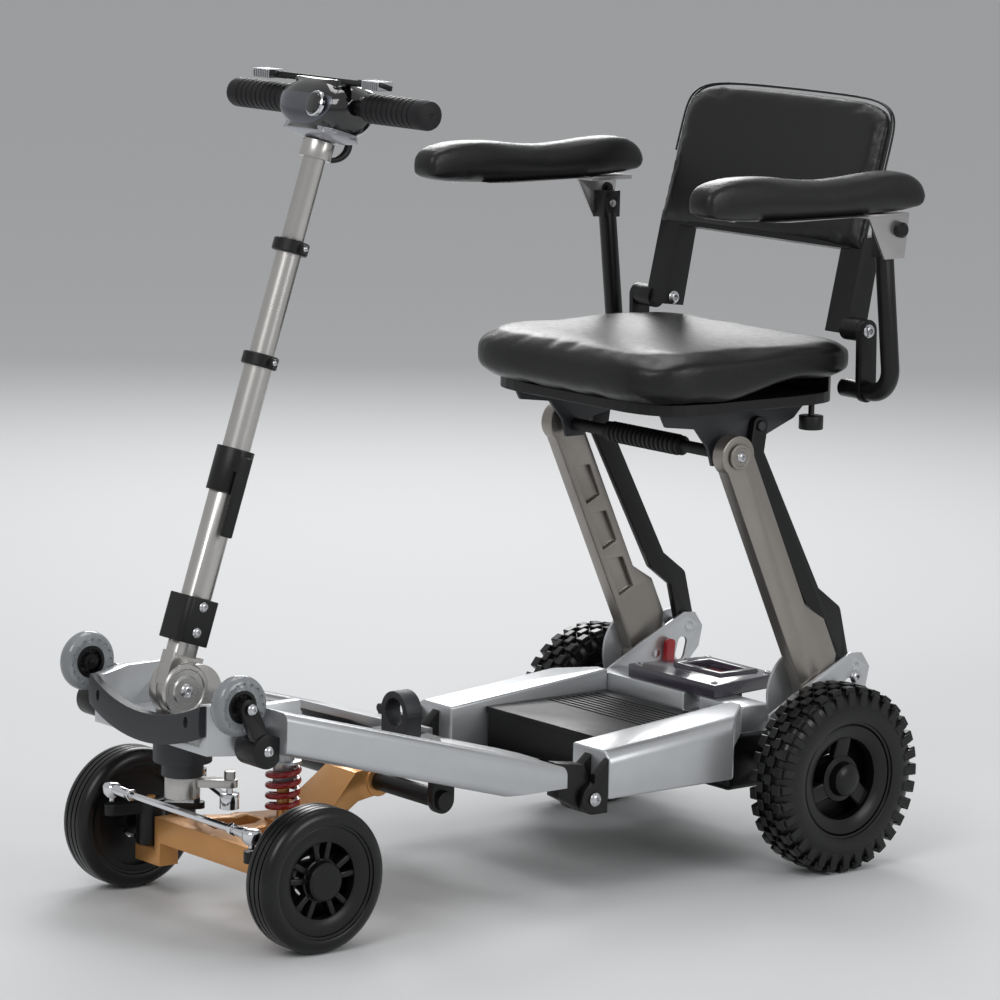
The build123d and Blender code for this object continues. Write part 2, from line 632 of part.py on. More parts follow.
tube = pin_x(pivot_tube_r, -pivot_tube_x, pivot_tube_x, casting_pivot_y, casting_pivot_z)
hanger_x1 = hanger_x + 10
hanger = side_plate(hanger_x, hanger_x1, [
    (casting_pivot_y - 17, casting_pivot_z), (casting_pivot_y - 17, casting_pivot_z + 30),
    (casting_pivot_y + 17, casting_pivot_z + 22), (casting_pivot_y + 17, casting_pivot_z)])
hanger += pin_x(17, hanger_x, hanger_x1, casting_pivot_y, casting_pivot_z)
hanger -= pin_x(pivot_tube_r, hanger_x, hanger_x1, casting_pivot_y, casting_pivot_z)
hanger -= rail
keep("pivot_tube", tube, hanger, flip(hanger))
shock_rod_z1 = tower_z - 46
shock = pin_z(shock_r, shock_rod_z1 - 10, tower_z, 0, shock_y)
shock -= pin_z(shock_r - 1.5, shock_rod_z1 - 10, tower_z - 14, 0, shock_y)
shock += block(-rail_in, rail_in, shock_y - 22, shock_y + 22, tower_z, tower_z + 8)
shock += pin_z(spring_r + 4, spring_z1 + gap, spring_z1 + 4, 0, shock_y) - pin_z(
    shock_r - 1, spring_z1, spring_z1 + 4, 0, shock_y)
keep("shock_tower", shock)

# clamp on the deck that takes the folded column
ring_y1 = ring_y0 + ring_w
foot = block(-clamp_half, clamp_half, ring_y0, ring_y1, bridge_z + bridge_t + 4, bridge_z + 28)
foot += pin_y(ring_out, ring_y0, ring_y1, 0, ring_z)
foot += block(1 - ring_out, ring_out - 1, ring_y0, ring_y1, bridge_z + 18, ring_z)
foot -= pin_y(ring_in, ring_y0, ring_y1, 0, ring_z)
foot &= block(-clamp_half, clamp_half, ring_y0, ring_y1, bridge_z, ring_z)
jaw = pin_y(ring_out, ring_y0, ring_y1, 0, ring_z) - pin_y(ring_in, ring_y0, ring_y1, 0, ring_z)
jaw &= block(-ring_out, ring_out, ring_y0, ring_y1, ring_z + gap, ring_z + ring_out)
jaw_x = -ring_out - 4
third = ring_w / 3
for y0 in (ring_y0, ring_y1 - third):
    foot += pin_y(jaw_r, y0, y0 + third, jaw_x, ring_z)
    jaw -= pin_y(jaw_r + gap, y0 - gap, y0 + third + gap, jaw_x, ring_z)
knuckle_y0, knuckle_y1 = ring_y0 + third + gap, ring_y1 - third - gap
foot -= pin_y(jaw_r + gap, knuckle_y0 - gap, knuckle_y1 + gap, jaw_x, ring_z)
foot += pin_y(jaw_pin_r, ring_y0, ring_y1, jaw_x, ring_z)
jaw += pin_y(jaw_r, knuckle_y0, knuckle_y1, jaw_x, ring_z)
jaw -= pin_y(jaw_pin_r + running, knuckle_y0, knuckle_y1, jaw_x, ring_z)
keep("column_clamp", foot)
keep("clamp_jaw", jaw)

# ---- front axle --------------------------------------------------------------
beam_low_z = fork_z1 + 10
side = side_plate(-beam_half, beam_half, [
    (beam_y - 14, beam_low_z), (beam_y - 14, beam_top_z - 3), (shock_y - 35, beam_top_z - 3),
    (shock_y - 27, beam_top_z), (shock_y + 27, beam_top_z),
    (casting_pivot_y - 38, casting_pivot_z + 15), (casting_pivot_y, casting_pivot_z + boss_r - 2),
    (casting_pivot_y, casting_pivot_z - boss_r + 2), (casting_pivot_y - 32, casting_pivot_z - 23),
    (shock_y + 25, beam_top_z - 16), (beam_y + 14, beam_low_z)])
waist_y, neck_y = shock_y - 15, casting_pivot_y - 32
waist, neck = 56, boss_half - 2
plan = flat_plate(fork_z0, casting_pivot_z + 2 * boss_r, [
    (-beam_half, beam_y - 20), (beam_half, beam_y - 20), (beam_half, beam_y + 18), (waist, waist_y),
    (neck, neck_y), (neck, casting_pivot_y + 18), (-neck, casting_pivot_y + 18), (-neck, neck_y),
    (-waist, waist_y), (-beam_half, beam_y + 18)])
casting = side & plan
casting += pin_x(boss_r, -boss_half, boss_half, casting_pivot_y, casting_pivot_z)
for x in (1, -1):
    casting += block(x * (beam_half - 3), x * (beam_half + 9), beam_y - 14, beam_y + 14,
                     fork_z0, beam_top_z - 3)
    casting += block(x * (beam_half - 3), x * (kingpin_x + 10), beam_y - 14, beam_y + 14,
                     fork_z0, fork_z1)
    casting += pin_z(14, fork_z0, fork_z1, x * kingpin_x, kingpin_y)
    casting += pin_z(kingpin_r, fork_z1, beam_top_z + 16, x * kingpin_x, kingpin_y)
    casting -= flat_plate(fork_z0, beam_top_z + 1, [
        (x * 12, beam_y + 10), (x * (waist + 14), beam_y + 22), (x * (waist - 16), shock_y - 23),
        (x * 12, shock_y - 23)])
casting -= pin_x(pivot_tube_r + running, -boss_half, boss_half, casting_pivot_y, casting_pivot_z)
shock_rod = pin_z(8, beam_top_z, shock_rod_z1, 0, shock_y)
shock_rod += pin_z(spring_r + 4, beam_top_z, spring_z0 - gap, 0, shock_y)
keep("axle_casting", casting, shock_rod)
coils = 4.5
wire_path = Helix((spring_z1 - spring_z0 - 2 * spring_wire_r) / coils,
                  spring_z1 - spring_z0 - 2 * spring_wire_r, spring_r)
wire = sweep(Plane(origin=wire_path @ 0, z_dir=wire_path % 0) * Circle(spring_wire_r),
             path=wire_path)
keep("coil_spring", Pos(0, shock_y, spring_z0 + spring_wire_r) * wire)


def lever_z(z0, z1, a, b, r):
    """A flat steering lever with two round ends, between two (x, y) points."""
    (ax, ay), (bx, by) = a, b
    length = ((bx - ax) ** 2 + (by - ay) ** 2) ** 0.5
    nx, ny = -(by - ay) / length * r, (bx - ax) / length * r
    web = flat_plate(z0, z1, [(ax + nx, ay + ny), (bx + nx, by + ny),
                              (bx - nx, by - ny), (ax - nx, ay - ny)])
    return web + pin_z(r, z0, z1, ax, ay) + pin_z(r, z0, z1, bx, by)


def knuckle(x):
    """A front wheel's knuckle, turning on its kingpin, with the wheel's stub axle."""
    centre_pin = (x * kingpin_x, kingpin_y)
    body = pin_z(knuckle_r, fork_z1 + gap, arm_z + 3, *centre_pin)
    ball = (x * (kingpin_x + tie_x), kingpin_y + tie_y)
    body += lever_z(arm_z - 14, arm_z, centre_pin, ball, lever_r)
    body += pin_x(14, x * (kingpin_x + 8), x * (kingpin_x + 28), front_axle_y, front_wheel_r)
    body += pin_x(front_axle_r, x * (kingpin_x + 20), x * (front_wheel_x + front_tyre_w / 2),
                  front_axle_y, front_wheel_r)
    if x < 0:
        stud = (centre_pin[0] + drag_x, centre_pin[1] + drag_y)
        body += lever_z(beam_top_z + 2, arm_z, centre_pin, stud, lever_r)
        body += pin_z(stud_r, arm_z, drag_z + 4, *stud)
    return body - pin_z(kingpin_r + running, fork_z0, beam_top_z + 20, *centre_pin)


keep("knuckle_left", knuckle(1))
keep("knuckle_right", knuckle(-1))
tie_ball_y = kingpin_y + tie_y
tie_end = kingpin_x + tie_x
tie = pin_x(tie_r, -tie_end, tie_end, tie_ball_y, tie_z)
for x in (1, -1):
    tie += pin_z(11, tie_z - 9, tie_z + 9, x * tie_end, tie_ball_y)
    tie += pin_x(7, x * (tie_end - 10), x * (tie_end - 38), tie_ball_y, tie_z)
    tie += pin_z(4, arm_z + gap, tie_z - 9, x * tie_end, tie_ball_y)
keep("tie_rod", tie)
pit = (drag_x, steer_y + drag_y)
far = (-kingpin_x + drag_x, kingpin_y + drag_y)
drag = bar_between((*pit, drag_z), (*far, drag_z), tie_r)
drag += pin_z(12, drag_z - 10, drag_z + 9, *pit)
drag += pin_z(4, drag_z + 9, 173.7, *pit)
drag += pin_z(12, drag_z - 8, drag_z + 8, *far)
drag -= pin_z(7.5, drag_z - 8, drag_z + 8, *far)
keep("drag_link", drag)

# ---- steering head -----------------------------------------------------------
stem = pin_z(stem_r - running, 170, 246, 0, steer_y) + pin_z(22, 160, 187 - gap, 0, steer_y)
stem += pin_z(34, 248 + gap, 256, 0, steer_y) + pin_z(20, 240 + gap, 250, 0, steer_y)
for x in (1, -1):
    stem += pin_x(ear_r, x * ear_in, x * ear_out, fold_y, fold_z)
    stem += block(x * ear_in, x * ear_out, fold_y - 26, fold_y + 26, 250, fold_z)
stem += pin_x(9, -ear_out, ear_out, fold_y, fold_z)
pitman = lever_z(174, 184, (0, steer_y), pit, 10) - pin_z(22, 174, 184, 0, steer_y)
pitman += pin_z(7, 184, 194, *pit)
keep("steering_stem", stem, pitman)

# ---- column ------------------------------------------------------------------
lower = along(lower_tube_r, lower_s0, lower_s1)
foot_part = pin_x(fold_hub_r, -ear_in + gap, ear_in - gap, fold_y, fold_z)
foot_part += column_block(-ear_in + gap, ear_in - gap, -lower_tube_r, lower_tube_r + 8, 0, lower_s0 + 2)
foot_part -= pin_x(9 + running, -ear_in, ear_in, fold_y, fold_z)
foot_part &= pin_x(300, -50, 50, fold_y, fold_z) & block(-60, 60, -700, -200, 256 + gap, 700)
lower = lower + foot_part - along(mid_tube_r + 0.1, lower_s0 + 10, lower_s1)
keep("lower_tube", lower)
sleeve = column_block(-24, 24, -26, 22, sleeve_s0, sleeve_s1)
sleeve = fillet(sleeve.edges().filter_by(Axis((0, 0, 0), tuple(column.z_dir))), 9)
keep("fold_sleeve", sleeve - along(lower_tube_r, sleeve_s0, sleeve_s1))
clamp = along(23.5, clamp_s0, clamp_s1) - along(lower_tube_r, clamp_s0, clamp_s1)
lever_x = 30
clamp += column_block(20, lever_x - gap, -12, 0, clamp_s1 - 28, clamp_s1 - 2)
clamp -= along(lower_tube_r, clamp_s0, clamp_s1)
keep("height_clamp", clamp)
lever_t = 8
lever_s1 = clamp_s1 - 12
handle = column_block(lever_x, lever_x + lever_t, -14, 2, lever_s1 - 96, lever_s1)
handle += column * Pos(lever_x + lever_t / 2, -6, lever_s1) * Rot(90, 0, 0) * Cylinder(lever_t / 2, 16)
keep("clamp_lever", handle)

mid = along(mid_tube_r, mid_s0, mid_s1) - along(upper_tube_r + 0.1, mid_s0, mid_s1)
upper = along(upper_tube_r, upper_s0, upper_s1) - along(top_tube_r + 0.1, upper_s0, upper_s1)


def tube_ring(s0, bore):
    """A locking ring at the top of a tube, with an ear on each side."""
    body = along(ring_r, s0, s0 + ring_h)
    body += column_block(-ring_r - 9, ring_r + 9, -6, 6, s0 + 3, s0 + ring_h - 3)
    return body - along(bore + 0.1, s0, s0 + ring_h)


keep("middle_tube", mid, tube_ring(mid_s1, upper_tube_r))
keep("upper_tube", upper, tube_ring(upper_s1, top_tube_r))
top = along(top_tube_r, top_s0, top_s1) - along(top_tube_r - tube_wall, top_s0, top_s1)
top += along(collar_r, collar_s0, top_s1) - along(top_tube_r, collar_s0, top_s1)
keep("top_tube", top)
shell = column_block(-console_half, console_half, -console_depth / 2 - 6, console_depth / 2 - 6,
                     top_s1, console_s1)
shell = fillet(shell.edges(), 17)
shell -= column * Pos(0, bar_y, bar_s) * Rot(0, 90, 0) * Cylinder(bar_r, 2 * console_half)
shell -= column_block(-console_half, console_half, -60, 4, lever_s - 4, console_s1)
keep("console_shell", shell)
handlebar = column * Pos(0, bar_y, bar_s) * Rot(0, 90, 0) * Cylinder(bar_r, 2 * bar_half)
grips = []
for x in (1, -1):
    middle = x * (grip_x0 + grip_x1) / 2
    place = column * Pos(middle, bar_y, bar_s) * Rot(0, 90, 0)
    soft = fillet(Cylinder(grip_r, grip_x1 - grip_x0).edges(), 3)
    inner = column * Pos(x * (grip_x0 + bar_half) / 2, bar_y, bar_s) * Rot(0, 90, 0) * Cylinder(
        bar_r, bar_half - grip_x0)
    grips.append(place * soft - inner)
keep("handlebar", handlebar, *grips)
rocker = column_block(-130, 130, lever_y - 6, lever_y + 6, lever_s - 3, lever_s + 3)
for x in (1, -1):
    rocker += column_block(x * 84 if x > 0 else -130, 130 if x > 0 else -84,
                           lever_y - 11, lever_y + 9, lever_s - 3, lever_s + 3)
post = column * Pos(0, lever_y, lever_s - 3.5) * Cylinder(10, 1)
keep("thumb_lever", rocker + post)
dial = column * Pos(34, -console_depth / 2 - 6, 728) * Rot(90, 0, 0) * Cylinder(13, 9, align=(
    Align.CENTER, Align.CENTER, Align.MIN))
keep("speed_dial", dial)
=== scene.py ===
import json
import math

import bpy
from mathutils import Matrix, Vector

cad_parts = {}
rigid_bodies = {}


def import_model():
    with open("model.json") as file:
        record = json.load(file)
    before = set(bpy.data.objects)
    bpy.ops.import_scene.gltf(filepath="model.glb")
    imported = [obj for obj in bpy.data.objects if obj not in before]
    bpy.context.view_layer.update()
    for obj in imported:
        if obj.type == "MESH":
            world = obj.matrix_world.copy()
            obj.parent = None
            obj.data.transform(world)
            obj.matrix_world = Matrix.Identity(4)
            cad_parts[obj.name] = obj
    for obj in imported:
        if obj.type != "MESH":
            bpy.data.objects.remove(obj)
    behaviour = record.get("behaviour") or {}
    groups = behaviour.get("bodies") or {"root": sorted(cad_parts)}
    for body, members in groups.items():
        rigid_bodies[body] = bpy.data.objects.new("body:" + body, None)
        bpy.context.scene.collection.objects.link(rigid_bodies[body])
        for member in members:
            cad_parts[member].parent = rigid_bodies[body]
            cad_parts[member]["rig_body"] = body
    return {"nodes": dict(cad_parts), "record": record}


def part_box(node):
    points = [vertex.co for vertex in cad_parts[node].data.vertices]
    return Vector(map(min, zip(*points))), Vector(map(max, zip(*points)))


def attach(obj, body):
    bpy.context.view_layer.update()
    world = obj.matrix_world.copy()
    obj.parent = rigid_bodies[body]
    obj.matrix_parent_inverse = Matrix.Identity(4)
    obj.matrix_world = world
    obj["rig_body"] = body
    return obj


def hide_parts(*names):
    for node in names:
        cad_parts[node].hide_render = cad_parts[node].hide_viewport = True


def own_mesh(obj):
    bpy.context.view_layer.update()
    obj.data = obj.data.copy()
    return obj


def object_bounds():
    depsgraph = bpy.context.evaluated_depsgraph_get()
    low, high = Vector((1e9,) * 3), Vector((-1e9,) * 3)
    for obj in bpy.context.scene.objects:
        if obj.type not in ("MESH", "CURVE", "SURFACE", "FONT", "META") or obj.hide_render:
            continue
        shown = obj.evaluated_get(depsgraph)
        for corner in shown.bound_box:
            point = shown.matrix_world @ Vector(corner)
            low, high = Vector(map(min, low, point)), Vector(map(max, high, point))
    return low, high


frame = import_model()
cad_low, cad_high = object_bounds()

# ---- camera and studio -------------------------------------------------------
# A long lens from the front left, looking slightly down, with a trace of roll.
# The floor is pale seamless board under four soft boxes.
azimuth, elevation, roll = (math.radians(angle) for angle in (51.14, 9.37, 1.3))
aim = Vector((0.2817, -0.1992, 0.5462))
camera_distance = 5.6
look = (
    Matrix.Rotation(azimuth, 4, "Z")
    @ Matrix.Rotation(math.pi / 2 - elevation, 4, "X")
    @ Matrix.Rotation(roll, 4, "Z")
)
bpy.ops.object.camera_add()
camera = bpy.context.object
camera.matrix_world = Matrix.Translation(aim + look @ Vector((0, 0, camera_distance))) @ look
camera.data.lens = 167.9
camera.data.clip_end = 60
bpy.context.scene.camera = camera
bpy.context.scene.view_settings.view_transform = "Standard"


def linear(hex_colour):
    """An sRGB hex colour as the linear RGBA that a shader takes."""
    shares = [int(hex_colour[k:k + 2], 16) / 255 for k in (1, 3, 5)]
    return [s / 12.92 if s <= 0.04045 else ((s + 0.055) / 1.055) ** 2.4 for s in shares] + [1]


def add_node(material, kind, inputs=None, **settings):
    """Adds a shader node. Settings are its own choices; an input is a value or a socket to link."""
    made = material.node_tree.nodes.new(kind)
    for name, value in settings.items():
        setattr(made, name, value)
    for name, value in (inputs or {}).items():
        if isinstance(value, bpy.types.NodeSocket):
            material.node_tree.links.new(value, made.inputs[name])
        else:
            made.inputs[name].default_value = value
    return made


def soft_box(name, spot, target, size, power):
    """A large square light that faces a target."""
    bpy.ops.object.light_add(type="AREA", location=spot)
    lamp = bpy.context.object
    lamp.name = name
    lamp.rotation_euler = (Vector(spot) - Vector(target)).to_track_quat("Z", "Y").to_euler()
    lamp.data.size = size
    lamp.data.energy = power
    lamp.visible_camera = False


soft_box("key_light", (1.6, -3.4, 3.4), (0, -0.1, 0.4), 2.0, 62)
soft_box("side_light", (3.8, 0.9, 1.9), (0, 0, 0.4), 1.6, 34)
soft_box("top_light", (-0.6, 0.6, 3.6), (0, 0, 0.3), 1.8, 36)
soft_box("rim_light", (-3.0, 2.2, 2.4), (0, 0, 0.6), 1.6, 55)

world = bpy.data.worlds.new("studio")
bpy.context.scene.world = world
world.use_nodes = True
world.node_tree.nodes["Background"].inputs["Color"].default_value = linear("#E8E9EA")
world.node_tree.nodes["Background"].inputs["Strength"].default_value = 0.62

floor_board = bpy.data.materials.new("matt seamless board")
floor_board.use_nodes = True
floor_shader = floor_board.node_tree.nodes["Principled BSDF"]
floor_shader.inputs["Base Color"].default_value = linear("#CFD0D1")
floor_shader.inputs["Roughness"].default_value = 0.85
bpy.ops.mesh.primitive_plane_add(size=40, location=(0, 0, cad_low[2]))
floor = bpy.context.object
floor.name = "floor"
floor.data.materials.append(floor_board)


# ---- rear half: rails --------------------------------------------------------
# Two hollow aluminium castings, painted satin silver, carry the battery between
# them and slope down to the middle hinge. Their outer edge is a wide round.
MM = 0.001
SHARP = math.radians(32)


def surface(name, colour, shade, roughness, metallic=0.0, grain=0.6, depth=0.02, coat=0.0,
            specular=0.5, edge=0.6, wear=0.35, fleck=None):
    """A finish with a fine grain of its own size in mm, uneven gloss and slightly worn colour.

    colour and shade are the fresh and the worn colour, depth is the grain's height in mm,
    and fleck is a coarser mottling in mm."""
    made = bpy.data.materials.new(name)
    made.use_nodes = True
    shader = made.node_tree.nodes["Principled BSDF"]
    place = add_node(made, "ShaderNodeTexCoord").outputs["Object"]
    cloud = add_node(made, "ShaderNodeTexNoise", {
        "Vector": place, "Scale": 1 / ((fleck or 60) * MM), "Detail": 5.0, "Roughness": 0.6})
    mixed = add_node(made, "ShaderNodeMix", {
        "Factor": cloud.outputs["Fac"], "A": linear(colour), "B": linear(shade)}, data_type="RGBA")
    gloss = add_node(made, "ShaderNodeMapRange", {
        "Value": cloud.outputs["Fac"], "To Min": roughness * (1 - wear), "To Max": roughness * (1 + wear)})
    fine = add_node(made, "ShaderNodeTexNoise", {
        "Vector": place, "Scale": 1 / (grain * MM), "Detail": 2.0, "Roughness": 0.5})
    round_edge = add_node(made, "ShaderNodeBevel", {"Radius": edge * MM}, samples=4)
    relief = add_node(made, "ShaderNodeBump", {
        "Height": fine.outputs["Fac"], "Distance": depth * MM, "Strength": 1.0,
        "Normal": round_edge.outputs["Normal"]})
    links = made.node_tree.links
    links.new(mixed.outputs[2], shader.inputs["Base Color"])
    links.new(gloss.outputs["Result"], shader.inputs["Roughness"])
    links.new(relief.outputs["Normal"], shader.inputs["Normal"])
    shader.inputs["Metallic"].default_value = metallic
    shader.inputs["Specular IOR Level"].default_value = specular
    shader.inputs["Coat Weight"].default_value = coat
    shader.inputs["Coat Roughness"].default_value = 0.08
    return made


# Silver metallic paint on castings: a tight sparkle under a satin clear coat.
silver_paint = surface("satin silver paint", "#C9CBCD", "#B9BBBE", 0.34, 0.75, 0.5, 0.012, 0.25)
# Black powder coat: slightly pebbled, with soft highlights.
black_powder = surface("black powder coat", "#09090A", "#101011", 0.36, 0.0, 0.9, 0.03, specular=0.35)
# Die-cast parts in charcoal textured paint, pebbled finely and mottled paler.
charcoal_paint = surface("charcoal textured paint", "#26272A", "#3A3B3F", 0.5, 0.2, 1.1, 0.10, fleck=1.6)


def only(*pieces):
    """Selects these pieces alone, the first of them active, in object mode."""
    if bpy.context.mode != "OBJECT":
        bpy.ops.object.mode_set(mode="OBJECT")
    bpy.ops.object.select_all(action="DESELECT")
    for piece in pieces:
        piece.select_set(True)
    bpy.context.view_layer.objects.active = pieces[0]


def apply_all(piece):
    """Applies a piece's modifiers in their order."""
    only(piece)
    for modifier in list(piece.modifiers):
        bpy.ops.object.modifier_apply(modifier=modifier.name)


def soften(piece, width, segments=2, angle=SHARP):
    """Rounds a piece's sharp edges by a width in mm."""
    bevel = piece.modifiers.new("soft edges", "BEVEL")
    bevel.width, bevel.segments, bevel.limit_method = width * MM, segments, "ANGLE"
    bevel.angle_limit = angle
    apply_all(piece)


def join(*pieces):
    """Makes several shapes one piece."""
    only(*pieces)
    if len(pieces) > 1:
        bpy.ops.object.join()
    return bpy.context.object


def finished(piece, name, body, slot, material, *replaced, smooth=SHARP):
    """Names a piece, sets its place in its mesh, gives it its finish and its body."""
    only(piece)
    bpy.ops.object.transform_apply(location=True, rotation=True, scale=True)
    piece.name = piece.data.name = name
    piece.data.materials.clear()
    piece.data.materials.append(material)
    bpy.ops.object.shade_smooth_by_angle(angle=smooth)
    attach(piece, body)
    if replaced:
        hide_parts(*replaced)
    return piece


def refined(node, width, material, segments=2, name=None, keep_below=None):
    """A frame node's own shape with its edges rounded, in place of the node.

    keep_below is a height in mm, above which the shape is cut off."""
    source = frame["nodes"][node]
    piece = bpy.data.objects.new(node, source.data.copy())
    bpy.context.scene.collection.objects.link(piece)
    only(piece)
    bpy.ops.object.mode_set(mode="EDIT")
    bpy.ops.mesh.select_all(action="SELECT")
    bpy.ops.mesh.remove_doubles(threshold=0.00002)
    bpy.ops.mesh.dissolve_limited(angle_limit=math.radians(1), use_dissolve_boundaries=False)
    bpy.ops.object.mode_set(mode="OBJECT")
    if keep_below:
        bpy.ops.object.mode_set(mode="EDIT")
        bpy.ops.mesh.select_all(action="SELECT")
        bpy.ops.mesh.bisect(plane_co=(0, 0, keep_below * MM), plane_no=(0, 0, 1), use_fill=True,
                            clear_outer=True)
        bpy.ops.object.mode_set(mode="OBJECT")
    for layer in list(piece.data.uv_layers):
        piece.data.uv_layers.remove(layer)
    soften(piece, width, segments)
    slot = next(row["material_slot"] for row in frame["record"]["subparts"] if row["node"] == node)
    return finished(piece, name or f"{node}_shell", source["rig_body"], slot, material, node)


refined("rear_rails", 3.5, silver_paint, 3)
for node, width, finish in (
    ("rear_hinge_lugs", 1.2, black_powder), ("battery_tray", 0.8, black_powder),
    ("rear_cross_beam", 2.0, silver_paint), ("post_plates", 0.8, silver_paint),
    ("drive_unit", 1.5, black_powder),
):
    refined(node, width, finish)

# ---- screws and pivot pins ---------------------------------------------------
# Zinc-plated button-head screws with a hex socket, bright but not mirror polished.
zinc = surface("zinc plate", "#D5D6D8", "#B7B9BD", 0.26, 1.0, 0.8, 0.01)


def turned(name, profile, centre, direction=(1, 0, 0), steps=64, closed=True):
    """A shape turned on a lathe: (along, radius) points in mm, spun round direction at centre."""
    bpy.ops.object.select_all(action="DESELECT")
    bpy.ops.mesh.primitive_circle_add(vertices=len(profile), fill_type="NOTHING")
    piece = bpy.context.object
    for vertex, (along, radius) in zip(piece.data.vertices, profile):
        vertex.co = (along * MM, 0, radius * MM)
    bpy.ops.object.mode_set(mode="EDIT")
    if not closed:
        bpy.ops.mesh.select_all(action="DESELECT")
        bpy.ops.object.mode_set(mode="OBJECT")
        last = len(profile) - 1
        for edge in piece.data.edges:
            edge.select = set(edge.vertices) == {0, last}
        bpy.ops.object.mode_set(mode="EDIT")
        bpy.ops.mesh.select_mode(type="EDGE")
        bpy.ops.mesh.delete(type="EDGE")
        bpy.ops.mesh.select_mode(type="VERT")
    bpy.ops.mesh.select_all(action="SELECT")
    bpy.ops.mesh.spin(steps=steps, angle=2 * math.pi, center=(0, 0, 0), axis=(1, 0, 0))
    bpy.ops.mesh.select_all(action="SELECT")
    bpy.ops.mesh.remove_doubles(threshold=0.00001)
    bpy.ops.mesh.normals_make_consistent(inside=False)
    bpy.ops.object.mode_set(mode="OBJECT")
    turn = Vector((1, 0, 0)).rotation_difference(Vector(direction)).to_matrix().to_4x4()
    piece.data.transform(Matrix.Translation(Vector(centre) * MM) @ turn)
    piece.name = name
    return piece


def screw(centre, direction, radius):
    """A button-head screw with a six-sided socket, standing on centre."""
    r = radius
    dome = [(0, 0), (0, r), (r * 0.15, r), (r * 0.42, r * 0.8), (r * 0.55, r * 0.48),
            (r * 0.55, r * 0.40), (r * 0.2, r * 0.38), (r * 0.2, 0)]
    return turned("screw", dome, centre, direction, 18, closed=False)


def screws(name, body, spots):
    """A group of screws on one body: each spot is (centre, direction, radius)."""
    return finished(join(*[screw(*spot) for spot in spots]), name, body, "steel", zinc, smooth=0.6)


screws("frame_screws", "rear_frame", [
    ((side * x, y, z), (side, 0, 0), r)
    for side in (1, -1)
    for x, y, z, r in ((199, 32.2, 132, 9), (189, 426.2, 219, 9), (189, 483.2, 238, 9))
])
refined("rear_pins", 0.5, zinc)

# ---- battery -----------------------------------------------------------------
# A removable pack in black moulded plastic, with a ribbed lid and a finger slot.
moulded_black = surface("moulded black plastic", "#0B0B0C", "#121213", 0.42, 0.0, 1.0, 0.05, specular=0.35)
refined("battery_pack", 2.5, moulded_black, 3)

# ---- smoked cover ------------------------------------------------------------
# A clear smoked moulding over the seat post's latch, with a raised window rim.
smoked = surface("smoked polycarbonate", "#57515F", "#4A4552", 0.18, 0.0, 4.0, 0.01, 0.4)
smoked_shader = smoked.node_tree.nodes["Principled BSDF"]
smoked_shader.inputs["Transmission Weight"].default_value = 0.45
smoked_shader.inputs["IOR"].default_value = 1.58
refined("cover_plate", 1.5, smoked, 3)
screws("cover_screws", "rear_frame", [
    ((x, y, 226), (0, 0, 1), 5) for x, y in ((-76, 336), (76, 336), (-60, 444), (60, 444))])

# Glossy red nylon lever and latch button.
red_nylon = surface("gloss red nylon", "#B3121B", "#8E0D14", 0.25, 0.0, 3.0, 0.01, 0.5)
refined("release_lever", 1.2, red_nylon)
bpy.ops.mesh.primitive_cube_add(size=1, location=(0, 0.4042, 0.2175), scale=(0.052, 0.034, 0.006))
latch_button = bpy.context.object
soften(latch_button, 2, 3)
finished(latch_button, "latch_button", "rear_frame", "red_paint", red_nylon)

# ---- front half --------------------------------------------------------------
# Silver box rails with three long flutes pressed into their tops.
front_rails = refined("front_rails", 5.0, silver_paint, 4)
tops = [front_rails.ray_cast((0.177, y, 1), (0, 0, -1))[1] for y in (-0.33, -0.15)]
rail_slope = math.atan2(tops[1].z - tops[0].z, tops[1].y - tops[0].y)
rail_mid = (tops[0] + tops[1]) / 2
flutes = []
for side in (1, -1):
    for across in (168, 177, 186):
        bpy.ops.mesh.primitive_cylinder_add(
            vertices=16, radius=0.0022, depth=0.26,
            location=(side * across * MM, rail_mid.y, rail_mid.z + 0.0006),
            rotation=(math.pi / 2 + rail_slope, 0, 0))
        flutes.append(bpy.context.object)


def cut(piece, *cutters):
    """Cuts shapes out of a piece."""
    cutter = join(*cutters)
    carve = piece.modifiers.new("cut", "BOOLEAN")
    carve.object, carve.operation, carve.solver = cutter, "DIFFERENCE", "EXACT"
    apply_all(piece)
    bpy.data.objects.remove(cutter)


cut(front_rails, *flutes)
only(front_rails)
bpy.ops.object.shade_smooth_by_angle(angle=SHARP)
for node, width, finish in (
    ("front_hinge_lugs", 1.5, black_powder), ("deck_bridge", 1.0, black_powder),
    ("nose_casting", 2.5, silver_paint), ("head_tube", 1.5, charcoal_paint),
    ("kick_arms", 2.0, black_powder), ("pivot_tube", 1.0, black_powder),
    ("shock_tower", 1.0, silver_paint), ("column_clamp", 2.0, charcoal_paint),
    ("clamp_jaw", 1.5, charcoal_paint),
):
    refined(node, width, finish)
screws("nose_screws", "front_frame", [
    ((side * 190, y, z), (side, 0, 0), 7)
    for side in (1, -1) for y, z in ((-494.8, 306), (-470, 252))])

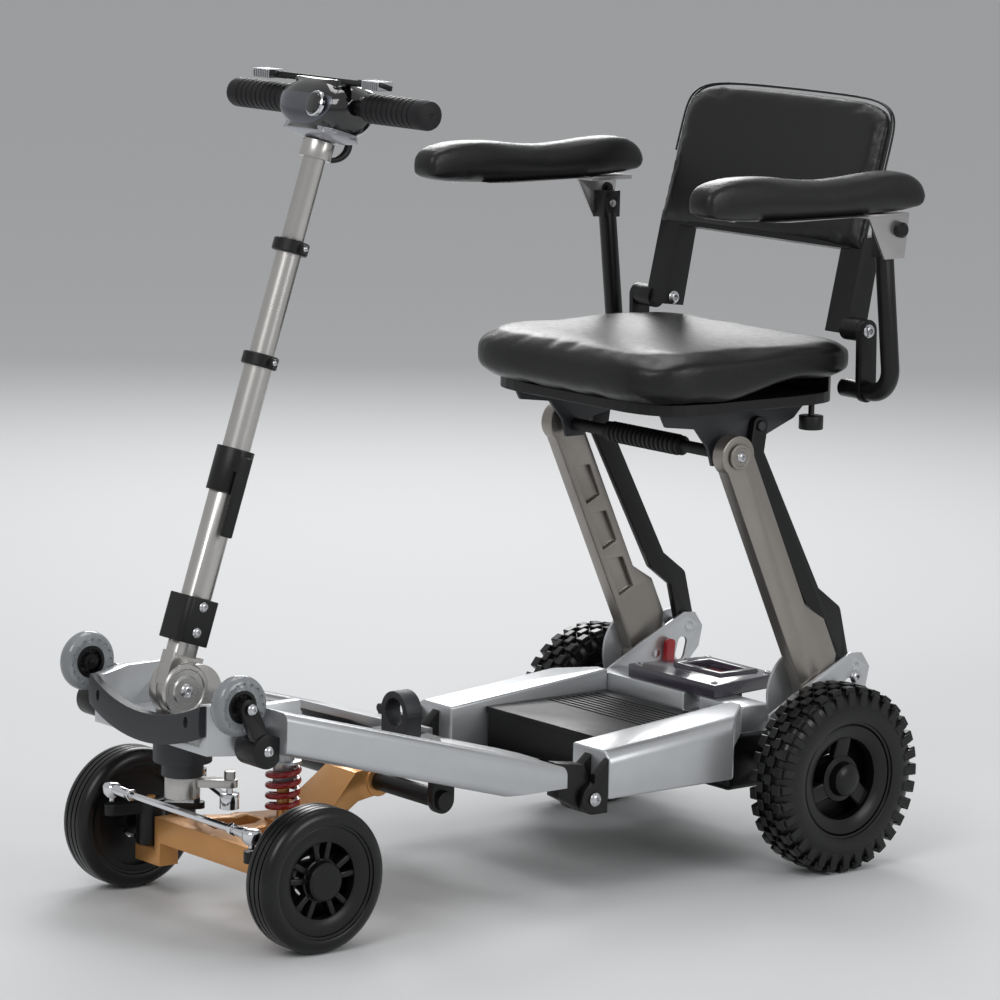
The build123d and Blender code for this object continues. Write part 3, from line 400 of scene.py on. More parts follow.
# ---- bumper ------------------------------------------------------------------
# A smile-shaped moulding in textured charcoal plastic, with two dark finger holes.
low, high = (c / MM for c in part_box("bumper"))
bpy.ops.mesh.primitive_cube_add(size=1)
bumper = bpy.context.object
bumper.data.transform(Matrix.Diagonal((2, 1, 1, 1)))
bpy.ops.object.mode_set(mode="EDIT")
bpy.ops.mesh.select_all(action="SELECT")
bpy.ops.mesh.subdivide(number_cuts=15)
bpy.ops.object.mode_set(mode="OBJECT")
for vertex in bumper.data.vertices:
    u, v, w = vertex.co
    middle = 1 - u * u
    top = high.z - 27 * middle
    bottom = low.z + 25 * (1 - middle)
    crown = 1 - abs(2 * w) ** 3
    front = low.y + 2 + 5 * (u * u) ** 1.5 - 2 * crown
    back = high.y
    vertex.co = Vector((u * 118, (front if v < 0 else back) if abs(v) > 0.49 else
                        front + (v + 0.5) * (back - front), bottom + (w + 0.5) * (top - bottom))) * MM
soften(bumper, 3.5, 3, math.radians(50))
for side in (1, -1):
    bpy.ops.mesh.primitive_cylinder_add(
        vertices=24, radius=0.0052, depth=0.03, location=(side * 0.094, (low.y + 8) * MM, 0.277),
        rotation=(math.pi / 2, 0, 0))
    bpy.context.object.scale = (0.8, 1.35, 1)
    cut(bumper, bpy.context.object)
finished(bumper, "bumper_moulding", "front_frame", "dark_casting", charcoal_paint, "bumper")

# ---- front axle --------------------------------------------------------------
# A copper-gold painted casting under a red coil spring, with forged black knuckles.
copper_paint = surface("copper metallic paint", "#D29A5E", "#C08A50", 0.36, 0.7, 0.5, 0.02, 0.2)
refined("axle_casting", 2.2, copper_paint, 3)
spring_red = surface("red powder coat", "#A5101A", "#870C14", 0.2, 0.1, 3.0, 0.01, 0.6)
low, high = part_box("coil_spring")
coil = refined("coil_spring", 0.2, spring_red)
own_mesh(coil)
for node in ("knuckle_left", "knuckle_right"):
    refined(node, 1.5, black_powder)
chrome = surface("bright chrome", "#E6E7E9", "#D2D4D8", 0.12, 1.0, 3.0, 0.004)
refined("drag_link", 0.8, chrome)

# The tie rod: a hexagonal bar with lock nuts and two ball joints.
low, high = (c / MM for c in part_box("tie_rod"))
rod_y, rod_z, rod_end = (low.y + high.y) / 2, high.z - 9, high.x - 11
rod_parts = [turned("bar", [(-rod_end + 30, 0), (-rod_end + 30, 5), (rod_end - 30, 5), (rod_end - 30, 0)],
                    (0, rod_y, rod_z), (1, 0, 0), 6, closed=False)]
for side in (1, -1):
    rod_parts.append(turned("nut", [(0, 0), (0, 8), (7, 8), (7, 0)],
                            (side * (rod_end - 44), rod_y, rod_z), (side, 0, 0), 6, closed=False))
    rod_parts.append(turned("socket", [(0, 0), (0, 6), (14, 7), (24, 8), (24, 0)],
                            (side * (rod_end - 34), rod_y, rod_z), (side, 0, 0), 24, closed=False))
    rod_parts.append(turned("ball", [(-17, 0), (-17, 4), (-10, 4), (-10, 9), (-4, 12), (4, 12), (8, 9),
                                     (9, 5), (9, 0)],
                            (side * rod_end, rod_y, rod_z), (0, 0, 1), 32, closed=False))
tie_rod = join(*rod_parts)
soften(tie_rod, 0.6)
finished(tie_rod, "tie_rod_bar", "tie_rod", "steel", chrome, "tie_rod")

# ---- front wheels ------------------------------------------------------------
# Solid black rubber tyres, polished by the mould, with three fine tread grooves,
# on black nylon rims with five pairs of slim spokes and a flush hub cap.
rubber = surface("moulded tyre rubber", "#060607", "#0B0B0C", 0.30, 0.0, 1.2, 0.03, specular=0.4)
nylon = surface("glass-filled black nylon", "#09090A", "#0F0F11", 0.34, 0.0, 0.9, 0.04, specular=0.35)


def tyre_profile(half, outer, bead, shoulder, drop, grooves):
    """A tyre's section: beads, side walls with a raised rib, round shoulders, grooved tread."""
    right = [(half - 4, bead), (half - 3.5, bead + 3), (half - 1, bead + 3.5), (half, bead + 6)]
    for k in range(7):
        a = math.radians(15 * k)
        right.append((half - shoulder + shoulder * math.cos(a), outer - drop + drop * math.sin(a)))
    tread = []
    for middle in sorted(grooves, reverse=True):
        tread += [(middle + 1.3, outer), (middle + 0.9, outer - 2.2), (middle - 0.9, outer - 2.2),
                  (middle - 1.3, outer)]
    left = [(-x, r) for x, r in reversed(right)]
    return right + tread + left


def around(part, count, centre, offset=0.0):
    """Copies a part evenly round a wheel's axle, and joins the copies."""
    copies = []
    spot = Matrix.Translation(Vector(centre) * MM)
    for k in range(count):
        copy = part.copy()
        copy.data = part.data.copy()
        turn = Matrix.Rotation(2 * math.pi * k / count + offset, 4, "X")
        copy.data.transform(spot @ turn @ spot.inverted())
        bpy.context.scene.collection.objects.link(copy)
        copies.append(copy)
    bpy.data.objects.remove(part)
    return join(*copies)


def bar(x0, x1, y0, y1, z0, z1, round_by, segments=2):
    """A rounded bar between six planes, in mm."""
    bpy.ops.object.select_all(action="DESELECT")
    bpy.ops.mesh.primitive_cube_add(size=1)
    piece = bpy.context.object
    size = Matrix.Diagonal((abs(x1 - x0) * MM, (y1 - y0) * MM, (z1 - z0) * MM, 1))
    piece.data.transform(Matrix.Translation(Vector((x0 + x1, y0 + y1, z0 + z1)) * MM / 2) @ size)
    soften(piece, round_by, segments)
    return piece


for side, word in ((1, "left"), (-1, "right")):
    low, high = (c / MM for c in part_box(f"front_tyre_{word}"))
    hub = (low + high) / 2
    outer, half = (high.z - low.z) / 2, (high.x - low.x) / 2
    section = tyre_profile(half, outer, 68, 12, 14, (-9, 0, 9))
    finished(turned("tyre", section, hub, steps=96), f"front_tyre_{word}_rubber",
             f"front_wheel_{word}", "tyre", rubber, f"front_tyre_{word}")
    rim = [turned("band", [(-21, 60), (-21, 67.8), (20, 67.8), (21, 65), (18, 50), (16, 47.5),
                           (4, 47), (2, 50), (12, 60)], hub, (side, 0, 0), 72),
           turned("hub", [(-20, 0), (-20, 20), (2, 27), (13, 27), (14, 25), (22.5, 24), (24.8, 21.5),
                          (25.6, 10), (25.6, 0)], hub, (side, 0, 0), 48, closed=False),
           turned("back", [(-14, 26), (-14, 61), (-10, 61), (-10, 26)], hub, (side, 0, 0), 48)]
    for lean in (-13, 13):
        spoke = bar(hub.x + side * 1, hub.x + side * 15, hub.y - 4, hub.y + 4, hub.z + 22, hub.z + 51, 2.5)
        rim.append(around(spoke, 5, hub, math.radians(lean)))
    finished(join(*rim), f"front_rim_{word}_nylon", f"front_wheel_{word}", "rim", nylon,
             f"front_rim_{word}")

# ---- rear wheels -------------------------------------------------------------
# Deep-lugged rubber tyres on black rims with three broad spokes and a domed cap.
for side, word in ((1, "left"), (-1, "right")):
    low, high = (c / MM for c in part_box(f"rear_tyre_{word}"))
    hub = (low + high) / 2
    outer, half = (high.z - low.z) / 2, (high.x - low.x) / 2
    section = tyre_profile(half - 1, outer - 6, 74, 15, 26, ())
    parts = [turned("tyre", section, hub, steps=96)]
    for across, width, turn, lower in (
        (-21, 13, 0.5, 1.5), (-7, 11, 0, 0), (7, 11, 0.5, 0), (21, 13, 0, 1.5),
    ):
        lug = bar(hub.x + across - width / 2, hub.x + across + width / 2, hub.y - 7.5, hub.y + 7.5,
                  hub.z + outer - 10 - lower, hub.z + outer - lower, 1.2, 1)
        parts.append(around(lug, 32, hub, 2 * math.pi / 32 * turn))
    for edge in (1, -1):
        lug = bar(hub.x + edge * (half - 7), hub.x + edge * half, hub.y - 6, hub.y + 6,
                  hub.z + outer - 26, hub.z + outer - 7, 1.5, 1)
        parts.append(around(lug, 32, hub, 2 * math.pi / 32 * (0 if edge > 0 else 0.5)))
    finished(join(*parts), f"rear_tyre_{word}_rubber", f"rear_wheel_{word}", "tyre", rubber,
             f"rear_tyre_{word}")
    rim = [turned("band", [(-27, 66), (-27, 73.8), (24, 73.8), (26, 71), (24, 60), (19, 54), (6, 54),
                           (4, 60), (12, 66)], hub, (side, 0, 0), 72),
           turned("hub", [(-26, 0), (-26, 24), (4, 30), (14, 30), (16, 23), (27, 21), (30.5, 17), (32.4, 9),
                          (32.6, 0)], hub, (side, 0, 0), 48, closed=False),
           turned("back", [(-16, 28), (-16, 67), (-11, 67), (-11, 28)], hub, (side, 0, 0), 48)]
    spoke = bar(hub.x + side * 2, hub.x + side * 15, hub.y - 13, hub.y + 13, hub.z + 24, hub.z + 58, 4, 3)
    for vertex in spoke.data.vertices:
        rise = (vertex.co.z / MM - hub.z - 24) / 34
        vertex.co.y += 9 * MM * rise * rise
        vertex.co.x -= side * 5 * MM * math.sin(math.pi * rise)
    rim.append(around(spoke, 3, hub))
    finished(join(*rim), f"rear_rim_{word}_nylon", f"rear_wheel_{word}", "rim", nylon,
             f"rear_rim_{word}")

# ---- transport wheels --------------------------------------------------------
# Two small castor wheels in clear grey polyurethane with moulded dimples.
clear_urethane = surface("clear grey polyurethane", "#A9ADB0", "#9A9EA2", 0.2, 0.0, 3.0, 0.01, 0.3)
clear_shader = clear_urethane.node_tree.nodes["Principled BSDF"]
clear_shader.inputs["Transmission Weight"].default_value = 0.5
clear_shader.inputs["IOR"].default_value = 1.5
for side, word in ((1, "left"), (-1, "right")):
    low, high = (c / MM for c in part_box(f"kick_wheel_{word}"))
    hub = (low + high) / 2
    crown_half, crown_depth, radius = 11.5, 9, 37.5
    crown = [(crown_half * math.cos(math.radians(a)),
              radius - crown_depth + crown_depth * math.sin(math.radians(a))) for a in range(0, 181, 15)]
    section = [(8.5, 20.2), (9.5, 24)] + crown + [(-9.5, 24), (-8.5, 20.2)]
    tread = turned("tread", section, hub, steps=72)
    dimples = []
    for edge in (1, -1):
        bpy.ops.mesh.primitive_uv_sphere_add(
            segments=12, ring_count=8, radius=0.0024,
            location=Vector((hub.x + edge * 11.2, hub.y, hub.z + 27.5)) * MM)
        dimple = bpy.context.object
        bpy.ops.object.transform_apply(location=True, rotation=True, scale=True)
        dimples.append(around(dimple, 16, hub))
    cut(tread, *dimples)
    finished(tread, f"kick_tread_{word}", f"kick_wheel_{word}", "clear_wheel", clear_urethane,
             f"kick_wheel_{word}")
    core = [turned("ring", [(-9, 16), (-9, 20), (9, 20), (9, 16)], hub, steps=48),
            turned("core", [(-10, 4.1), (-10, 10), (10, 10), (10, 4.1)], hub, steps=36),
            around(bar(hub.x - 5, hub.x + 5, hub.y - 1, hub.y + 1, hub.z + 9, hub.z + 17, 0.4, 1), 12, hub)]
    finished(join(*core), f"kick_hub_{word}", f"kick_wheel_{word}", "rim", nylon)

# ---- steering column ---------------------------------------------------------
# Three telescoping aluminium tubes, satin anodised, with black nylon locking
# rings, a moulded fold sleeve and a clamp with a curved cam lever.
anodised = surface("satin anodised aluminium", "#C4C2BF", "#B1AFAC", 0.3, 0.9, 0.7, 0.008, 0.0, edge=0.4)
COLUMN = Vector((0, 0.3040, 0.9527))
BEHIND = Vector((0, 0.9527, -0.3040))
FOOT = Vector((0, -478.84, 299.4))


def reach(node):
    """How far along the column a tube's two ends are, in mm from its foot, its wall left out."""
    ends = [((Vector(p) / MM) - FOOT).dot(COLUMN) for p in (v.co for v in frame["nodes"][node].data.vertices)]
    return min(ends), max(ends)


def tube(name, body, node, outer, inner, start, stop):
    """A round tube of the column with softly broken ends."""
    section = [(start, inner), (start, outer - 0.8), (start + 0.8, outer), (stop - 0.8, outer),
               (stop, outer - 0.8), (stop, inner)]
    return finished(turned(name, section, FOOT, COLUMN, 56), name, body, "tube", anodised, node)


def locking_ring(name, body, at, radius, bore, height):
    """A black ring round a tube, clamped by a screw through two ears."""
    section = [(0, bore), (0, radius - 1.5), (1.5, radius), (height - 1.5, radius), (height, radius - 1.5),
               (height, bore)]
    parts = [turned("ring", section, FOOT + COLUMN * at, COLUMN, 48)]
    lean = Matrix(((1, 0, 0), BEHIND, COLUMN)).transposed().to_4x4()
    for side in (1, -1):
        ear = bar(side * (radius - 3), side * (radius + 9), -5, 5, 3, height - 3, 1.5)
        ear.data.transform(Matrix.Translation((FOOT + COLUMN * at) * MM) @ lean)
        parts.append(ear)
    finished(join(*parts), name, body, "black_plastic", moulded_black)
    screws(f"{name}_screws", body, [
        (FOOT + COLUMN * (at + height / 2) + Vector((side * (radius + 8.6), 0, 0)), (side, 0, 0), 3.6)
        for side in (1, -1)])


RING_HEIGHT = 16
refined("lower_tube", 0.8, anodised, name="lower_tube_drawn")
for node, outer, inner in (("middle_tube", 17.5, 15.9), ("upper_tube", 15.8, 14.3)):
    start, stop = reach(node)
    tube(f"{node}_drawn", node, node, outer, inner, start, stop - RING_HEIGHT + 1)
    locking_ring(f"{node}_ring", node, stop - RING_HEIGHT, 22.5, outer - 1.5, RING_HEIGHT)
refined("top_tube", 0.6, anodised)
refined("fold_sleeve", 1.0, moulded_black)
refined("height_clamp", 1.0, moulded_black)
screws("sleeve_screws", "column", [
    (FOOT + COLUMN * at + Vector((24, -3, 0)), (1, 0, 0), 6.5) for at in (72, 104)])
refined("steering_stem", 1.0, anodised)

# The fold hub: a satin disc with a raised rim and a hex bolt, on the stem's near side.
hub_spot = FOOT + Vector((26.5, 0, 0))
disc = [(0, 0), (0, 33), (2.5, 33), (4.5, 31), (4.5, 27), (3, 25.5), (3, 19), (5, 17), (5, 0)]
finished(turned("disc", disc, hub_spot, (1, 0, 0), 56, closed=False), "fold_hub", "steering_head", "tube",
         anodised)
screws("fold_bolt", "steering_head", [(hub_spot + Vector((4.5, 0, 0)), (1, 0, 0), 9)])

refined("clamp_lever", 2.4, moulded_black, 3)

# ---- console -----------------------------------------------------------------
# A gloss-black egg-shaped moulding with a gunmetal nose and a pale underside.
piano_black = surface("gloss black ABS", "#08080A", "#0C0C0F", 0.09, 0.0, 6.0, 0.002, 0.8)
gunmetal = surface("gunmetal lacquer", "#6E7078", "#53555E", 0.24, 0.85, 3.0, 0.003, 0.4)
pale_cast = surface("pale cast underside", "#B9BBC0", "#9C9EA4", 0.3, 0.7, 1.5, 0.05)


def moulded_form(cuts, shape):
    """A cube divided evenly, every point of which goes where shape(u, v, w) says, in mm."""
    bpy.ops.object.select_all(action="DESELECT")
    bpy.ops.mesh.primitive_cube_add(size=2)
    piece = bpy.context.object
    bpy.ops.object.mode_set(mode="EDIT")
    bpy.ops.mesh.select_all(action="SELECT")
    bpy.ops.mesh.subdivide(number_cuts=cuts)
    bpy.ops.object.mode_set(mode="OBJECT")
    for vertex in piece.data.vertices:
        vertex.co = Vector(shape(*vertex.co)) * MM
    return piece


def rounded(u, v, power):
    """Brings a square's corners in to a rounded square of that power."""
    ring = max(abs(u), abs(v))
    if ring < 1e-6:
        return u, v
    scale = ring / (abs(u) ** power + abs(v) ** power) ** (1 / power)
    return u * scale, v * scale


low, high = (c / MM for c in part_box("console_shell"))
shell_half = (high - low) / 2
handle_start, handle_end = reach("console_shell")


def egg(u, v, w, swell=0.0):
    """The console's shell: rounder in front, flatter behind, narrower below."""
    u, v = rounded(u, v, 2.9)
    ring = max(abs(u), abs(v), 1e-6)
    scaled, w = rounded(ring, w, 2.5)
    u, v = u * scaled / ring, v * scaled / ring
    across = (shell_half.x + swell) * u * (0.93 + 0.07 * w)
    deep = (42 + swell) * v - (4 if v < 0 else 0) * (1 - abs(w))
    tall = (39 + swell) * w
    middle = FOOT + COLUMN * (handle_start + handle_end) / 2
    return middle + Vector((across, 0, 0)) + BEHIND * (deep * 0.98) + COLUMN * tall


shell = moulded_form(19, egg)
finished(shell, "console_egg", "console", "gloss_black", piano_black, "console_shell", smooth=1.2)


def band(name, swell, material, planes):
    """A skin a little proud of the console between planes of (point, normal) that cut it off."""
    skin = moulded_form(31, lambda u, v, w: egg(u, v, w, swell))
    only(skin)
    bpy.ops.object.mode_set(mode="EDIT")
    for point, normal in planes:
        bpy.ops.mesh.select_all(action="SELECT")
        bpy.ops.mesh.bisect(plane_co=point * MM, plane_no=normal, use_fill=True, clear_outer=True)
    bpy.ops.object.mode_set(mode="OBJECT")
    finished(skin, name, "console", "gloss_black", material, smooth=0.8)


shell_centre = FOOT + COLUMN * (handle_start + handle_end) / 2
band("console_nose", 0.7, gunmetal, [
    (shell_centre - BEHIND * 36, BEHIND), (shell_centre + COLUMN * 10, COLUMN)])
band("console_underside", 1.0, pale_cast, [
    (shell_centre - COLUMN * 26, COLUMN), (shell_centre - BEHIND * 30, -BEHIND)])

# The speed dial: a black knob inside a chromed ring.
low, high = (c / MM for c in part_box("speed_dial"))
refined("speed_dial", 1.0, piano_black)
dial_spot = (low + high) / 2
dial_axis = Vector((0, low.y - high.y, 0)).normalized() * 0.9527 + Vector((0, 0, 0.3040))
finished(turned("bezel", [(-3, 12.5), (-3, 16), (1, 16), (2.5, 14.5), (1.5, 12.5)],
                dial_spot, dial_axis, 48), "dial_bezel", "console", "steel", chrome)

# Ribbed aluminium tips on the black thumb levers.
refined("thumb_lever", 1.2, moulded_black)
low, high = (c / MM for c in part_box("thumb_lever"))
polished = surface("polished aluminium", "#D6D7DA", "#C2C3C7", 0.22, 1.0, 0.8, 0.01)
tips = []
for side in (1, -1):
    for k in range(9):
        rib = high.x - 35 + 3.9 * k
        tips.append(bar(side * rib, side * (rib + 2.4), low.y - 0.6, high.y + 0.6,
                        low.z + 2, high.z - 0.2, 0.5, 1))
finished(join(*tips), "thumb_tips", "thumb_lever", "steel", polished)

# Ribbed rubber grips with a closed end, on a black bar.
grip_rubber = surface("grip rubber", "#0E0E10", "#151518", 0.55, 0.0, 0.8, 0.08, specular=0.35)
low, high = (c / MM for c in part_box("handlebar"))
bar_middle, grip_end, grip_r = (low + high) / 2, high.x, (high.z - low.z) / 2 - 0.1
grip_section = [(80, 12), (80, grip_r - 2), (82, grip_r)]
for k in range(9):
    at = 92 + 10.2 * k
    grip_section += [(at, grip_r), (at + 0.6, grip_r - 1.3), (at + 2.2, grip_r - 1.3), (at + 2.8, grip_r)]
grip_section += [(grip_end - 6, grip_r), (grip_end - 2, grip_r - 1.5), (grip_end - 0.2, grip_r - 5),
                 (grip_end - 0.2, 3), (grip_end - 1.5, 2), (grip_end - 1.5, 0)]
for side, word in ((1, "left"), (-1, "right")):
    section = [(80, 0)] + grip_section
    finished(turned("grip", section, (0, bar_middle.y, bar_middle.z), (side, 0, 0), 48, closed=False),
             f"grip_{word}", "console", "grip", grip_rubber, "handlebar")
finished(turned("bar", [(-81, 0), (-81, 12.5), (81, 12.5), (81, 0)], (0, bar_middle.y, bar_middle.z),
                (1, 0, 0), 36, closed=False), "bar_core", "console", "grip", black_powder)

# The lifting loop behind the column's top.
bpy.ops.object.select_all(action="DESELECT")
bpy.ops.mesh.primitive_torus_add(
    major_radius=0.025, minor_radius=0.0042, major_segments=48, minor_segments=14)
loop = bpy.context.object
loop.data.transform(Matrix.Diagonal((0.9, 1.25, 1, 1)))
only(loop)
bpy.ops.object.mode_set(mode="EDIT")
bpy.ops.mesh.select_all(action="SELECT")
bpy.ops.mesh.bisect(plane_co=(0, 0, 0), plane_no=(0, -1, 0), use_fill=True, clear_outer=True)
bpy.ops.object.mode_set(mode="OBJECT")
loop.data.transform(Matrix.Translation((FOOT + COLUMN * (handle_start + 4) + BEHIND * 14) * MM)
                    @ Matrix((COLUMN, BEHIND, COLUMN.cross(BEHIND))).transposed().to_4x4())
finished(loop, "lifting_loop", "console", "black_plastic", moulded_black)

# ---- seat arms and links -----------------------------------------------------
# Forged aluminium arms, bead blasted and clear anodised to a warm champagne grey.
champagne = surface("champagne anodised aluminium", "#A39E98", "#8F8A85", 0.33, 0.85, 0.6, 0.015)
refined("seat_arms", 2.2, champagne, 3)
refined("seat_links", 1.6, black_powder)
low, high = (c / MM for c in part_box("lift_handle"))
pivot = Vector((0, (low.y + high.y) / 2, (low.z + high.z) / 2))
arm_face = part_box("seat_arms")[1].x / MM
arm_cap = [(0, 0), (0, 17), (2.2, 17), (3.2, 15.6), (3.2, 12.5), (2.2, 11.5), (2.2, 0)]
caps = [turned("cap", arm_cap, (side * (arm_face - 0.4), pivot.y, pivot.z), (side, 0, 0), 48, closed=False)
        for side in (1, -1)]
finished(join(*caps), "arm_caps", "seat_arms", "grey_casting", champagne)
screws("arm_screws", "seat_arms", [
    ((side * (arm_face + 1.6), pivot.y, pivot.z), (side, 0, 0), 7) for side in (1, -1)])

# The lift handle: a rubber sleeve with moulded rings on a steel bar.
sleeve_r = (high.z - low.z) / 2
section = [(-high.x, 0), (-high.x, 8), (-76, 8), (-74, sleeve_r - 1)]
for k in range(-7, 8):
    section += [(9 * k - 3.4, sleeve_r - 2.6), (9 * k - 2.2, sleeve_r),
                (9 * k + 2.2, sleeve_r), (9 * k + 3.4, sleeve_r - 2.6)]
section += [(74, sleeve_r - 1), (76, 8), (high.x, 8), (high.x, 0)]
finished(turned("sleeve", section, pivot, (1, 0, 0), 40, closed=False), "lift_sleeve", "seat",
         "black_plastic", grip_rubber, "lift_handle")

# ---- seat --------------------------------------------------------------------
# A moulded pan on two brackets carries the cushion and the armrest tubes.
refined("seat_brackets", 1.5, charcoal_paint)
refined("seat_knob", 1.0, moulded_black)
refined("armrest_tubes", 3.0, black_powder, 3)

# Black upholstery vinyl over foam: a fine leather grain with satin highlights.
vinyl = surface("grained upholstery vinyl", "#0C0C0D", "#131314", 0.36, 0.0, 1.7, 0.22, specular=0.4, fleck=9)


def stuffed(piece, voxel, cap, pressure=4.0):
    """Fills a form like a cushion: even mesh, air pressure, a limit on its swelling, subdivision."""
    remesh = piece.modifiers.new("even mesh", "REMESH")
    remesh.mode, remesh.voxel_size = "VOXEL", voxel * MM
    apply_all(piece)
    start = [vertex.co.copy() for vertex in piece.data.vertices]
    cloth = piece.modifiers.new("stuffing", "CLOTH")
    cloth.settings.use_pressure = True
    cloth.settings.uniform_pressure_force = pressure
    cloth.settings.effector_weights.gravity = 0
    cloth.settings.quality = 5
    for step in range(1, 21):
        bpy.context.scene.frame_set(step)
    apply_all(piece)
    bpy.context.scene.frame_set(1)
    for vertex, rest in zip(piece.data.vertices, start):
        moved = vertex.co - rest
        if moved.length > cap * MM:
            vertex.co = rest + moved * (cap * MM / moved.length)
    ease = piece.modifiers.new("ease", "SMOOTH")
    ease.factor, ease.iterations = 0.5, 6
    finer = piece.modifiers.new("finer", "SUBSURF")
    finer.levels = finer.render_levels = 1
    apply_all(piece)
    return piece


low, high = (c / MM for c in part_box("seat_cushion"))
pan_low, pan_high = (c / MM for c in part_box("seat_pan"))


def step_up(t):
    """0 up to t = 0, 1 from t = 1, and an even S between."""
    t = min(max(t, 0), 1)
    return t * t * (3 - 2 * t)


def cushion(u, v, w):
    """The seat cushion: round front corners, a deep rolled front edge, thinner at the back."""
    front = step_up((0.2 - v) / 1.2)
    u, v = rounded(u, v, 8 - 2.2 * front)
    ring = max(abs(u), abs(v), 1e-6)
    scaled, w = rounded(ring, w, (7.5 if w > 0 else 9) - 2.5 * front)
    u, v = u * scaled / ring, v * scaled / ring
    top = high.z - 4 - 4 * (1 - min(1, ring) ** 2) + 2 * front - 4 * step_up((-0.6 - v) / 0.5)
    bottom = low.z + 3 + 20 * step_up((v + 0.35) / 0.8)
    middle, half = (top + bottom) / 2, (top - bottom) / 2
    across = (high.x - 5) * u * (1 - 0.01 * front * abs(v))
    return across, (low.y + high.y) / 2 + ((high.y - low.y) / 2 - 5) * v, middle + half * w




def pan_plan(room, above):
    """A block with the pan's rounded plan, a little larger or smaller than the pan."""
    def shape(u, v, w):
        u, v = rounded(u, v, 5.5)
        half = (pan_high.y - pan_low.y) / 2
        return ((pan_high.x + room) * u, (pan_low.y + pan_high.y) / 2 + (half + room) * v,
                pan_high.z + above - 40 + 40 * w)
    return moulded_form(15, shape)


pan = refined("seat_pan", 1.5, moulded_black, 2)
trim = pan.modifiers.new("rounded plan", "BOOLEAN")
trim.object, trim.operation, trim.solver = pan_plan(0.2, 2), "INTERSECT", "EXACT"
trimmer = trim.object
apply_all(pan)
bpy.data.objects.remove(trimmer)
seat = stuffed(moulded_form(23, cushion), 5.0, 5.0)
cut(seat, pan_plan(2.0, 1.5))
finished(seat, "seat_cushion_pad", "seat", "vinyl", vinyl, "seat_cushion", smooth=0.7)

# ---- backrest ----------------------------------------------------------------
# A padded panel in the same vinyl, piped round its edge, on two moulded legs.
low, high = (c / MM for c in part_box("backrest"))
lean = math.radians(15.4)
up, back = Vector((0, math.sin(lean), math.cos(lean))), Vector((0, math.cos(lean), -math.sin(lean)))
panel_foot = Vector((0, high.y - 207 * math.sin(lean) - 22 * math.cos(lean), high.z - 207 * math.cos(lean)))
refined("backrest", 4.0, moulded_black, 4, "backrest_legs", keep_below=panel_foot.z + 16)


def back_panel(u, v, w):
    """The panel: rounded top corners, a crowned top, its sides bent forward, its face dished."""
    if w > 0:
        u, w = rounded(u, w, 7)
    ring = max(abs(u), abs(w), 1e-6)
    scaled, v = rounded(ring, v, 9)
    u, w = u * scaled / ring, w * scaled / ring
    height = 100 + 101 * w - 5 * u * u * step_up(w)
    depth = 10 + 9.5 * v - 9 * u * u
    return panel_foot + Vector((201 * u, 0, 0)) + up * height + back * depth


backrest = stuffed(moulded_form(23, back_panel), 4.5, 4.0)
finished(backrest, "backrest_pad", "backrest", "vinyl", vinyl, "backrest", smooth=0.7)
outline = []
for k in range(-40, 41):
    turn = math.pi * k / 80
    u, w = math.sin(turn) * 1.0, math.cos(turn)
    span = max(abs(u), abs(w))
    u, w = rounded(u / span, w / span, 7)
    outline.append(panel_foot + Vector((202.5 * u, 0, 0)) + up * (100 + 102.5 * w - 5 * u * u * step_up(w))
                   + back * (13 - 9 * u * u))
for word, shift in (("front", -2.4), ("rear", 2.4)):
    line = bpy.data.curves.new(f"piping_{word}", "CURVE")
    line.dimensions = "3D"
    spline = line.splines.new("NURBS")
    spline.points.add(len(outline) - 1)
    for point, place in zip(spline.points, outline):
        point.co = ((place + back * shift) * MM).to_4d()
    spline.use_endpoint_u, spline.order_u = True, 3
    line.bevel_depth, line.bevel_resolution, line.resolution_u = 0.0014, 2, 2
    piping = bpy.data.objects.new(f"piping_{word}", line)
    bpy.context.scene.collection.objects.link(piping)
    only(piping)
    bpy.ops.object.convert(target="MESH")
    finished(bpy.context.object, f"back_piping_{word}", "backrest", "vinyl", vinyl, smooth=1.0)
# One bolt stands on each outer ear of the tubes, and one on the inside of each leg.
ear_face, leg_inside, bolt_r = high.x + 7.9, high.x - 62, 9
screws("backrest_bolts", "seat", [
    ((side * ear_face, panel_foot.y - 9.9, 704), (side, 0, 0), bolt_r) for side in (1, -1)])
screws("leg_bolts", "backrest", [
    ((side * leg_inside, panel_foot.y - 6, 706), (-side, 0, 0), bolt_r) for side in (1, -1)])

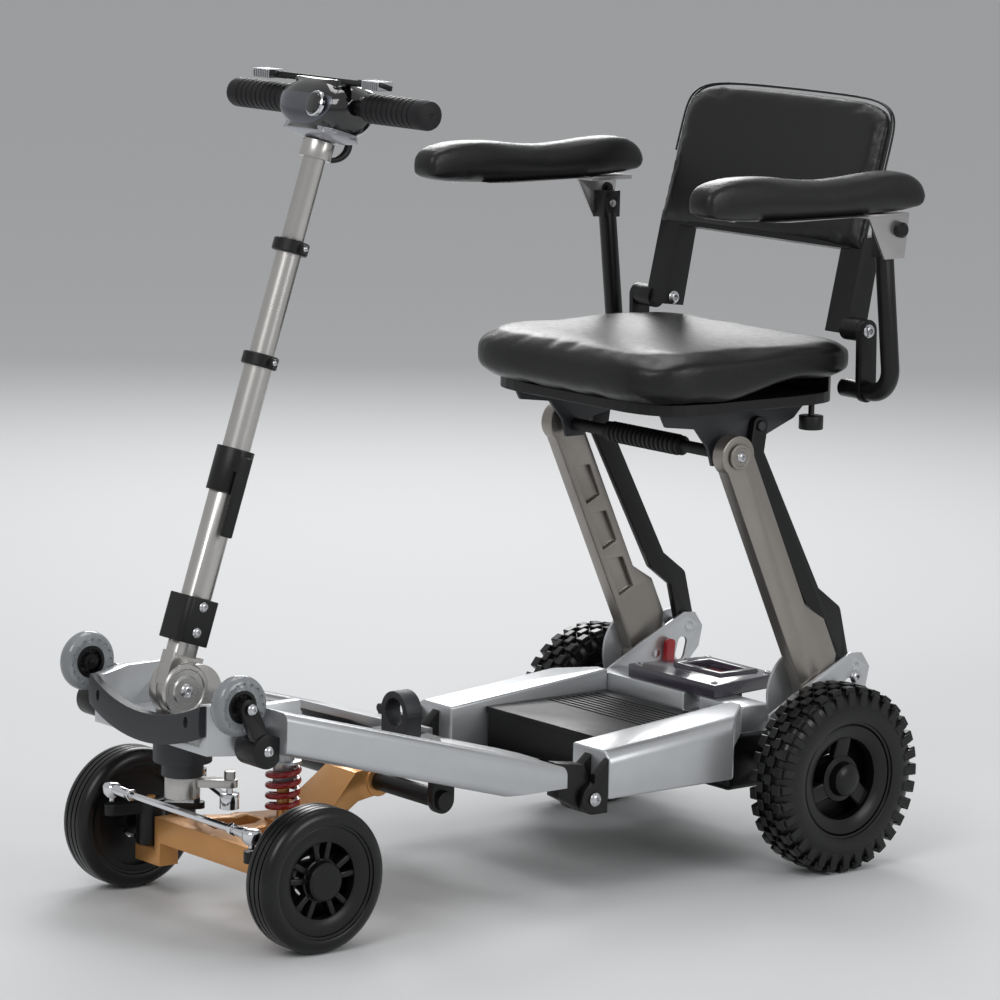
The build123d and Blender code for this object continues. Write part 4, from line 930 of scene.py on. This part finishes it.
# ---- armrests ----------------------------------------------------------------
# Soft moulded pads with a wave-shaped top, each on a steel bracket with a knob.
satin_steel = surface("satin nickel plate", "#BDBABA", "#A8A5A6", 0.3, 0.85, 1.0, 0.01)
for side, word in ((1, "left"), (-1, "right")):
    low, high = (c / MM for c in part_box(f"armrest_{word}"))
    pad_z = high.z - 57
    rest_y = high.y - 54
    refined(f"armrest_{word}", 1.0, satin_steel, 2, f"armrest_bracket_{word}", keep_below=pad_z - 0.5)
    wave = [(low.y + 2, 8), (low.y, 30), (low.y + 8, 44), (low.y + 30, 52), (low.y + 70, 56),
            (low.y + 110, 53), (rest_y - 180, 47), (rest_y - 124, 42), (rest_y - 60, 47),
            (rest_y - 10, 54), (high.y - 30, 52), (high.y - 8, 38), (high.y, 22), (high.y - 4, 6),
            (rest_y, 1), (rest_y - 100, 0), (rest_y - 200, 0), (low.y + 34, 2)]
    bpy.ops.object.select_all(action="DESELECT")
    bpy.ops.mesh.primitive_circle_add(vertices=len(wave), fill_type="NGON")
    pad = bpy.context.object
    inner = low.x if side > 0 else high.x
    for vertex, (y, z) in zip(pad.data.vertices, wave):
        vertex.co = Vector((inner + side * 2, y, pad_z + z)) * MM
    bpy.ops.object.mode_set(mode="EDIT")
    bpy.ops.mesh.select_all(action="SELECT")
    across = side * (high.x - low.x - 4) * MM
    bpy.ops.mesh.extrude_region_move(TRANSFORM_OT_translate={"value": (across, 0, 0)})
    bpy.ops.mesh.select_all(action="SELECT")
    bpy.ops.mesh.normals_make_consistent(inside=False)
    bpy.ops.object.mode_set(mode="OBJECT")
    soften(pad, 6, 1, math.radians(60))
    rounder = pad.modifiers.new("rounder", "SUBSURF")
    rounder.levels = rounder.render_levels = 2
    apply_all(pad)
    pad = stuffed(pad, 4.0, 3.0)
    finished(pad, f"armrest_pad_{word}", f"armrest_{word}", "vinyl", vinyl, f"armrest_{word}", smooth=0.7)
    screws(f"armrest_studs_{word}", f"armrest_{word}", [
        (((low.x + high.x) / 2, y, pad_z + 2.5), (0, 0, -1), 6) for y in (low.y + 60, low.y + 150)])
    knob = [(0, 0), (0, 5), (4, 5), (4, 9), (7, 10), (16, 10), (19, 7), (19, 0)]
    finished(turned("knob", knob, (side * 282, rest_y + 10, 842), (side, 0, 0), 32, closed=False),
             f"armrest_knob_{word}", f"armrest_{word}", "black_plastic", moulded_black)
